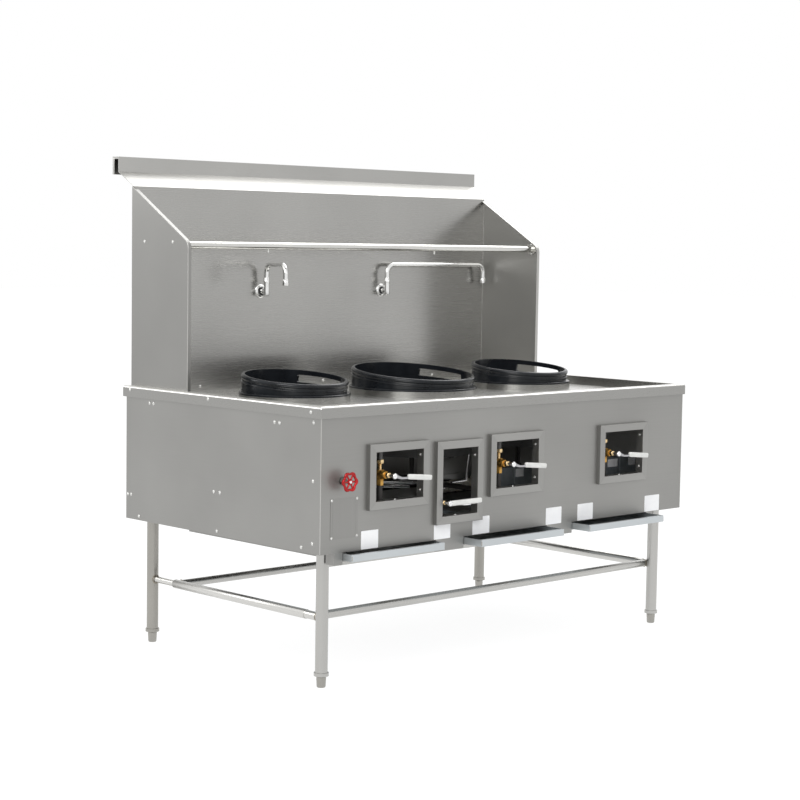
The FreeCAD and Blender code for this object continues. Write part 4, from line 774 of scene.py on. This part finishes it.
def spout_path(x, reach, heading):
    """Points along a spout, and the place of its outlet."""
    ray = Vector((math.cos(heading), math.sin(heading), 0))

    def spot(out, height):
        return Vector((x, FAUCET_Y, height)) + ray * out

    quarter = [math.radians(90 * step / 12) for step in range(13)]
    low = SPOUT_TOP - BEND
    points = [spot(0, SPOUT_BASE), spot(0, (SPOUT_BASE + low) / 2)]
    points += [spot(BEND * (1 - math.cos(a)), low + BEND * math.sin(a)) for a in quarter]
    points.append(spot(reach / 2, SPOUT_TOP))
    points += [spot(reach - BEND + BEND * math.sin(a), low + BEND * math.cos(a)) for a in quarter]
    points.append(spot(reach, OUTLET + 0.020))
    return points, spot(reach, OUTLET)


for name, (x, reach, heading) in FAUCETS.items():
    path, outlet = spout_path(x, reach, heading)
    bm = bmesh.new()
    sweep(bm, path, 0.009, 24)
    turn_profile(bm, [(0.0090, -0.001), (0.0104, 0), (0.0104, 0.0035), (0.0092, 0.0055), (0.0090, 0.0058)],
                 (x, FAUCET_Y, NUT_TOP), sides=32)
    add_piece(f"bent_spout_{name}", bm, plating, f"swing_spout_{name}", f"spout_{name}", instead=True)
    bm = bmesh.new()
    collar = [(0.0070, 0.012), (0.0070, 0.0), (0.0105, 0.0), (0.0115, 0.0012), (0.0115, 0.0050),
              (0.0109, 0.0056), (0.0115, 0.0062), (0.0115, 0.0170), (0.0100, 0.0205), (0.0091, 0.0220)]
    turn_profile(bm, collar, outlet, sides=40)
    add_piece(f"outlet_collar_{name}", bm, plating, f"swing_spout_{name}", f"spout_{name}", instead=True)
print("spout path of", len(path), "points")

# %% [markdown]
# The pot rail ends in round plates on the cheeks. Two screws hold each plate, and the studs under the rail
# end in small balls.

# %% Pot rail fittings
RAIL_Y, RAIL_Z, RAIL_TUBE, STUD, BALL = 0.235, 1.411, 0.0127, 0.0065, 0.0052
CHEEK_X, RAIL_PLATE = 0.881, 0.004
rail_x = CHEEK_X - SHEET - RAIL_PLATE
for side, sign in SIDES:
    spots = [(sign * rail_x, RAIL_Y, RAIL_Z + rise) for rise in (0.018, -0.018)]
    screw_row(f"rail_plate_screws_{side}", spots, (-sign, 0, 0), "pot_rail", 0.7)
ball = [(BALL * math.sin(math.pi * s / 12), -BALL * math.cos(math.pi * s / 12)) for s in range(13)]
bm = bmesh.new()
for x in (-0.496, 0.328):
    turn_profile(bm, ball, (x, RAIL_Y, RAIL_Z - RAIL_TUBE - STUD), sides=20)
add_piece("rail_stud_balls", bm, bright_screw, "range_body", "pot_rail")

# %% [markdown]
# The legs stand on bullet feet that screw in and out. The foot is turned: a blunt nose, a nearly straight
# body with a collar at its top, and a threaded stem that disappears in the leg's insert.

# %% Bullet feet
foot_steel = machined("foot_steel", (0.36, 0.35, 0.325), 0.28)
LEG_X, FRONT_LEG, REAR_LEG = 0.834, -0.463, 0.450
STEM, SHOULDER = 0.0078, 0.038
BULLET = [(0.0112, 0.0), (0.0134, 0.0010), (0.0144, 0.0032), (0.0148, 0.0060), (0.0156, 0.0225),
          (0.0160, 0.0235), (0.0160, 0.0335), (0.0150, 0.0362), (0.0110, 0.0378), (STEM, SHOULDER)]
for end, y in (("front", FRONT_LEG), ("rear", REAR_LEG)):
    for side, sign in SIDES:
        node, x = f"foot_{end}_{side}", sign * LEG_X
        bm = bmesh.new()
        turn_profile(bm, BULLET, (x, y, 0), sides=40)
        threaded(bm, STEM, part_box(node)[1][2] - SHOULDER, (x, y, SHOULDER), pitch=0.0020)
        add_piece(f"bullet_{end}_{side}", bm, foot_steel, f"{node}_screw", node, instead=True)

# %% [markdown]
# The stretchers are welded to the legs. A weld reads as a low rippled ring, darker and straw coloured
# beside the ground steel, so each joint gets a ring whose thickness waves a little.

# %% Weld beads
weld = mottled("weld_bead", (0.33, 0.29, 0.22), 0.9, 0.42, (500, 4.0, 0.5, 0.0003), 70,
               (0.22, 0.19, 0.15), (0.42, 0.38, 0.31))


def weld_ring(bm, centre, axis, radius, thick=0.0016, ripples=20):
    heading = Vector(axis)
    across = heading.orthogonal().normalized()
    other = heading.cross(across)
    steps = 4 * ripples
    path = [Vector(centre) + radius * (math.cos(a) * across + math.sin(a) * other)
            for a in (2 * math.pi * step / steps for step in range(steps))]
    sweep(bm, path, [thick * (1 + 0.16 * (step % 4 == 0)) for step in range(steps)], 8, closed=True)


TUBE, BAR, STRETCHER_Z, LEG_TOP = 0.0206, 0.014, 0.227, 0.4432
bm = bmesh.new()
for sign in (-1, 1):
    weld_ring(bm, (sign * LEG_X, FRONT_LEG + TUBE, STRETCHER_Z), (0, 1, 0), BAR)
    weld_ring(bm, (sign * LEG_X, REAR_LEG - TUBE, STRETCHER_Z), (0, 1, 0), BAR)
    for y in (-0.432, 0.300):
        weld_ring(bm, (sign * (LEG_X - BAR), y, STRETCHER_Z), (1, 0, 0), BAR)
    for y in (FRONT_LEG, REAR_LEG):
        weld_ring(bm, (sign * LEG_X, y, LEG_TOP), (0, 0, 1), TUBE)
add_piece("frame_welds", bm, weld, "range_body", "front_stretcher")

# %% [markdown]
# Each side stretcher is a wide tube pushed over two thinner stubs, so it shows a step near each leg. The
# wide tube is turned as one long sleeve with rounded ends, a hair thicker than the bar under it.

# %% Stretcher sleeves
SLEEVE, SLEEVE_FRONT, SLEEVE_REAR = 0.0156, -0.388, 0.316
length = SLEEVE_REAR - SLEEVE_FRONT
front_end = [(BAR - 0.0002, 0.0), (SLEEVE - 0.0006, 0.0), (SLEEVE, 0.0008)]
profile = front_end + [(radius, length - height) for radius, height in front_end[::-1]]
for side, sign in SIDES:
    bm = bmesh.new()
    turn_profile(bm, profile, (sign * LEG_X, SLEEVE_FRONT, STRETCHER_Z), (0, 1, 0), 48)
    add_piece(f"stretcher_sleeve_{side}", bm, finishes["side_bar"], "range_body", f"{side}_stretcher")
print("sleeves of", round(length, 3), "m over the side stretchers")

# %% [markdown]
# Behind the windows one sees more than the valves: a dark shield lies on the bearers, a pale insulation
# blanket rests on it, thin pilot tubes run up to the burners and two plain grey switch boxes hang behind
# the right-hand windows. They are small and half lit, so simple folded shapes with rounded edges do.

# %% Behind the windows
dark_sheet = satin("scaled_sheet", (0.10, 0.10, 0.10), "x", 0.5)
blanket = mottled("insulation_blanket", (0.66, 0.60, 0.50), 0.0, 0.9, (60, 6.0, 0.8, 0.004), 14,
                  (0.74, 0.69, 0.60), (0.95, 0.91, 0.82))
box_grey = mottled("switch_box_grey", (0.16, 0.18, 0.19), 0.0, 0.5, (400, 3.0, 0.2, 0.0001), 30,
                   (0.14, 0.16, 0.17), (0.20, 0.22, 0.23))


def box_between(bm, low, high, corner=0.003):
    """Box along X whose long edges are rounded."""
    middle_y, middle_z = (low[1] + high[1]) / 2, (low[2] + high[2]) / 2
    half_y, half_z = (high[1] - low[1]) / 2, (high[2] - low[2]) / 2
    stations = [(low[0], 0.0), (low[0] + corner, 1.0), (high[0] - corner, 1.0), (high[0], 0.0)]
    skin(bm, [((x, middle_y, middle_z), half_y - corner * (1 - full), half_z - corner * (1 - full),
               min(corner, half_y * 0.4, half_z * 0.4)) for x, full in stations])


bm = bmesh.new()
box_between(bm, (0.292, 0.036, 0.4455), (0.720, 0.496, 0.4475), 0.0008)
for y in (0.036, 0.486):
    box_between(bm, (0.292, y, 0.4470), (0.720, y + 0.010, 0.4590), 0.0008)
add_piece("floor_shield", bm, dark_sheet, "range_body", "base_frame")
bm = bmesh.new()
for step in range(9):
    x = 0.30 + 0.04 * step
    lift = 0.004 * math.sin(1.7 * step)
    box_between(bm, (x, 0.262 + 0.004 * math.cos(2 * step), 0.452),
                (x + 0.044, 0.312, 0.476 + lift + 0.003 * step), 0.008)
add_piece("insulation_roll", bm, blanket, "range_body", "base_frame")
bm = bmesh.new()
sweep(bm, [(0.306, 0, 0.700), (0.303, 0, 0.661), (0.285, 0, 0.540), (0.170, -0.04, 0.545)], 0.004, 10)
sweep(bm, [(-0.300, -0.30, 0.545), (0.100, -0.10, 0.545), (0.170, -0.04, 0.545)], 0.004, 10)
sweep(bm, [(-0.368, VALVE_LINE + 0.010, 0.569), (-0.340, -0.44, 0.569), (-0.300, -0.30, 0.545)], 0.003, 10)
for drop, rear in ((0.0, -0.20), (0.018, -0.16)):
    sweep(bm, [(-0.345, rear, 0.602 - drop), (-0.165, rear, 0.586 - drop)], 0.005, 10)
add_piece("pilot_tubes", bm, hub_metal, "range_body", "pilot_valve")
boxes, cards = bmesh.new(), bmesh.new()
for low_x, high_x, card in ((0.058, 0.120, None), (0.125, 0.220, (0.130, 0.172)),
                            (0.630, 0.697, (0.634, 0.690)), (0.704, 0.802, (0.752, 0.794))):
    box_between(boxes, (low_x, -0.400, 0.500), (high_x, -0.362, 0.641), 0.003)
    box_between(boxes, (low_x + 0.002, -0.404, 0.560), (high_x - 0.002, -0.399, 0.573), 0.002)
    if card:
        flat_card(cards, card, (0.604, 0.633), -0.400, 0.0004, 0.002)
bm = bmesh.new()
for low_x, high_x in ((0.058, 0.220), (0.630, 0.802)):
    box_between(bm, (low_x, -0.362, 0.446), (high_x, -0.360, 0.560), 0.0008)
    box_between(bm, (low_x, -0.362, 0.444), (high_x, -0.262, 0.446), 0.0008)
add_piece("switch_box_brackets", bm, dark_sheet, "range_body", "base_frame")
add_piece("switch_boxes", boxes, box_grey, "range_body", "base_frame")
add_piece("switch_box_cards", cards, card_white, "range_body", "base_frame")

# %% [markdown]
# From above one looks into the burners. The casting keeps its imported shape, and every jet gets a turned
# brass nozzle with a chamfered lip and a dark bore.

# %% Burner nozzles
for side, centre_x in (("left", -0.565), ("middle", 0.0), ("right", 0.570)):
    bm = bmesh.new()
    for circle, count in ((0.062, 12), (0.032, 6)):
        for jet in range(count):
            angle = 2 * math.pi * jet / count
            spot = (centre_x + circle * math.cos(angle), circle * math.sin(angle), 0.704)
            turn_profile(bm, [(0.0068, 0.0002), (0.0068, 0.0150), (0.0060, 0.0205), (0.0048, 0.0222),
                              (0.0030, 0.0222), (0.0028, 0.0120), (0, 0.0120)], spot, sides=18)
    add_piece(f"jet_nozzles_{side}", bm, forged_brass, "range_body", f"burner_{side}")

# %% [markdown]
# Each drip tray is folded from zinc-coated sheet. Its front edge is rolled, and the corners are closed with
# a short weld that stays visible from the front.

# %% Tray fronts
for number in (1, 2, 3):
    low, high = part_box(f"drip_tray_{number}")
    bm = bmesh.new()
    for roll, inset, height, sides in ((0.0022, 0.002, high[2] - 0.0022, 14),
                                       (0.0016, 0.001, low[2] + 0.0016, 12)):
        sweep(bm, [(x, low[1] + roll, height) for x in (low[0] + inset, high[0] - inset)], roll, sides)
    add_piece(f"tray_roll_{number}", bm, finishes["zinc"], f"tray_{number}", f"drip_tray_{number}")
    bm = bmesh.new()
    for x in (low[0] + 0.0012, high[0] - 0.0012):
        path = [Vector((x, low[1] + 0.0014, low[2] + 0.003 + 0.00155 * step)) for step in range(11)]
        sweep(bm, path, [0.0009 + 0.0003 * (step % 2) for step in range(11)], 8)
    add_piece(f"tray_weld_{number}", bm, weld, f"tray_{number}", f"drip_tray_{number}")

# %% [markdown]
# Where two sheets meet, the corner is folded, and it shows as a thin bright line: up the front corners of
# the cabinet, where the back meets the cheeks, and along the cheeks' front and slanted edges. A thin round
# bar laid in each corner, in steel painted half again lighter than the sheets, gives that line from every
# side: a painted highlight.

# %% Bright edges
# Painted highlight: these bars and the strips at the channel ends take the steel half again lighter than the
# sheets.
highlight_steel = satin("painted_highlight_edge", shade(STEEL, 1.55), "z", 0.34)
SIDE_X = 0.906
bm = bmesh.new()
for sign in (-1, 1):
    sweep(bm, [(sign * (SIDE_X - 0.001), panel_y + 0.001, z) for z in (0.446, 0.66, RIM_BOTTOM)], 0.0014, 10)
add_piece("cabinet_corner_lines", bm, highlight_steel, "range_body", "front_panel")
SHOULDER_Y, SHOULDER_Z, HEM_ROUND = 0.193, 1.419, 0.036
slant = Vector((0, 0.518 - SHOULDER_Y, 1.612 - SHOULDER_Z)).normalized()
for side, sign in SIDES:
    cheek_line = sign * 0.8805
    corner = Vector((cheek_line, SHOULDER_Y + 0.0008, SHOULDER_Z - 0.0004))
    reach = HEM_ROUND * math.tan((math.pi / 2 - math.atan2(slant.z, slant.y)) / 2)
    start, stop = corner - Vector((0, 0, reach)), corner + slant * reach
    bend = [(1 - f) ** 2 * start + 2 * f * (1 - f) * corner + f * f * stop for f in (0, 0.25, 0.5, 0.75, 1)]
    path = [Vector((cheek_line, corner.y, 0.900))] + bend + [Vector((cheek_line, 0.516, 1.6105))]
    bm = bmesh.new()
    sweep(bm, path, 0.0013, 10)
    sweep(bm, [(sign * 0.8785, splash_y - 0.0004, z) for z in (0.886, 1.2, 1.598)], 0.0012, 8)
    add_piece(f"cheek_edge_{side}", bm, highlight_steel, "range_body", f"{side}_cheek")
CHANNEL_END, BAND_Y, FAR_Y = 0.895, 0.580, 0.616
bm = bmesh.new()
for sign in (-1, 1):
    ends = sorted((sign * (CHANNEL_END - 0.002), sign * CHANNEL_END))
    box_between(bm, (ends[0], FAR_Y - 0.009, 1.6545), (ends[1], FAR_Y - 0.0005, 1.7155), 0.0006)
    box_between(bm, (ends[0], BAND_Y + 0.001, 1.7080), (ends[1], FAR_Y - 0.009, 1.7155), 0.0006)
add_piece("channel_end_hem_highlights", bm, highlight_steel, "range_body", "top_channel")

# %% [markdown]
# The picture was taken from the left front, a little above counter height, with a long lens. The camera's
# place was solved from the straight edges of the counter and the back: it stands about seven metres away,
# turned 43.6 degrees and tipped down a little under 5 degrees.

# %% Camera
TURN, TIP, LEAN = math.radians(-43.56), math.radians(4.72), math.radians(0.90)
SPOT = Vector((-4.8399, -5.0231, 1.4322))
FOCAL = 86.16
forward = Vector((-math.sin(TURN) * math.cos(TIP), math.cos(TURN) * math.cos(TIP), -math.sin(TIP)))
level_right = Vector((math.cos(TURN), math.sin(TURN), 0))
level_up = level_right.cross(forward)
right = math.cos(LEAN) * level_right + math.sin(LEAN) * level_up
up = -math.sin(LEAN) * level_right + math.cos(LEAN) * level_up
lens = bpy.data.cameras.new("studio_lens")
lens.lens = FOCAL
lens.sensor_width = 36
camera = bpy.data.objects.new("studio_camera", lens)
camera.matrix_world = Matrix((
    (right.x, up.x, -forward.x, SPOT.x), (right.y, up.y, -forward.y, SPOT.y),
    (right.z, up.z, -forward.z, SPOT.z), (0, 0, 0, 1)))
bpy.context.scene.collection.objects.link(camera)
bpy.context.scene.camera = camera

# %% [markdown]
# Satin steel shows the room it stands in. A plain pale room gives it an even grey, and four soft lamps
# draw the difference between its faces: one high on the left, a weak one in front, one high at the right
# and a low one behind on the left. The floor is white to the camera and in reflections, but it still takes
# the shadow of the legs.

# %% Room, lamps and floor
world = bpy.data.worlds.new("pale_room")
world.use_nodes = True
bpy.context.scene.world = world
tree = world.node_tree
room = tree.nodes["Background"]
room.inputs["Color"].default_value = (0.86, 0.87, 0.88, 1)
room.inputs["Strength"].default_value = 0.9
seen = tree.nodes.new("ShaderNodeBackground")
seen.inputs["Color"].default_value = (1, 1, 1, 1)
pick = tree.nodes.new("ShaderNodeMixShader")


def looking_ray(tree):
    """1 for camera, glossy and transmission rays, 0 for the light that falls on things."""
    path = tree.nodes.new("ShaderNodeLightPath")
    value = path.outputs["Is Camera Ray"]
    for kind in ("Is Glossy Ray", "Is Transmission Ray"):
        value = calculate(tree, "MAXIMUM", value, (path.outputs[kind],))
    return value


tree.links.new(looking_ray(tree), pick.inputs["Fac"])
tree.links.new(room.outputs[0], pick.inputs[1])
tree.links.new(seen.outputs[0], pick.inputs[2])
tree.links.new(pick.outputs[0], tree.nodes["World Output"].inputs["Surface"])


def soft_lamp(name, place, aim, size, power):
    """Area lamp that looks from one point to another."""
    data = bpy.data.lights.new(name, "AREA")
    data.shape = "RECTANGLE"
    data.size, data.size_y = size
    data.energy = power
    lamp = bpy.data.objects.new(name, data)
    lamp.location = place
    lamp.rotation_euler = (Vector(aim) - Vector(place)).to_track_quat("-Z", "Y").to_euler()
    bpy.context.scene.collection.objects.link(lamp)
    return lamp


soft_lamp("key_lamp", (-4.5, -2.5, 4.2), (0, 0, 0.9), (3.0, 3.0), 150)
soft_lamp("front_lamp", (1.5, -5.5, 3.0), (0, 0, 0.8), (3.0, 2.0), 10)
soft_lamp("rear_lamp", (-3.5, 3.5, 3.0), (-0.8, 0, 0.4), (2.0, 2.0), 40)
soft_lamp("top_lamp", (2.7, 1.2, 4.6), (0, 0.5, 1.6), (4.5, 3.0), 130)

floor_mesh = bpy.data.meshes.new("studio_floor")
reach = 40
floor_mesh.from_pydata([(-reach, -reach, 0), (reach, -reach, 0), (reach, reach, 0), (-reach, reach, 0)], [],
                       [(0, 1, 2, 3)])
floor = bpy.data.objects.new("studio_floor", floor_mesh)
floor.location.z = -0.0005
bpy.context.scene.collection.objects.link(floor)
paper, tree, shader = new_material("studio_paper", (0.8, 0.8, 0.8), 0.0, 0.9)
floor_mesh.materials.append(paper)
glow = tree.nodes.new("ShaderNodeEmission")
glow.inputs["Color"].default_value = (1, 1, 1, 1)
glow.inputs["Strength"].default_value = 1.16
blend = tree.nodes.new("ShaderNodeMixShader")
tree.links.new(calculate(tree, "MULTIPLY", looking_ray(tree), (0.78,)), blend.inputs["Fac"])
tree.links.new(shader.outputs[0], blend.inputs[1])
tree.links.new(glow.outputs[0], blend.inputs[2])
tree.links.new(blend.outputs[0], tree.nodes["Material Output"].inputs["Surface"])
bpy.context.scene.view_settings.view_transform = "Standard"
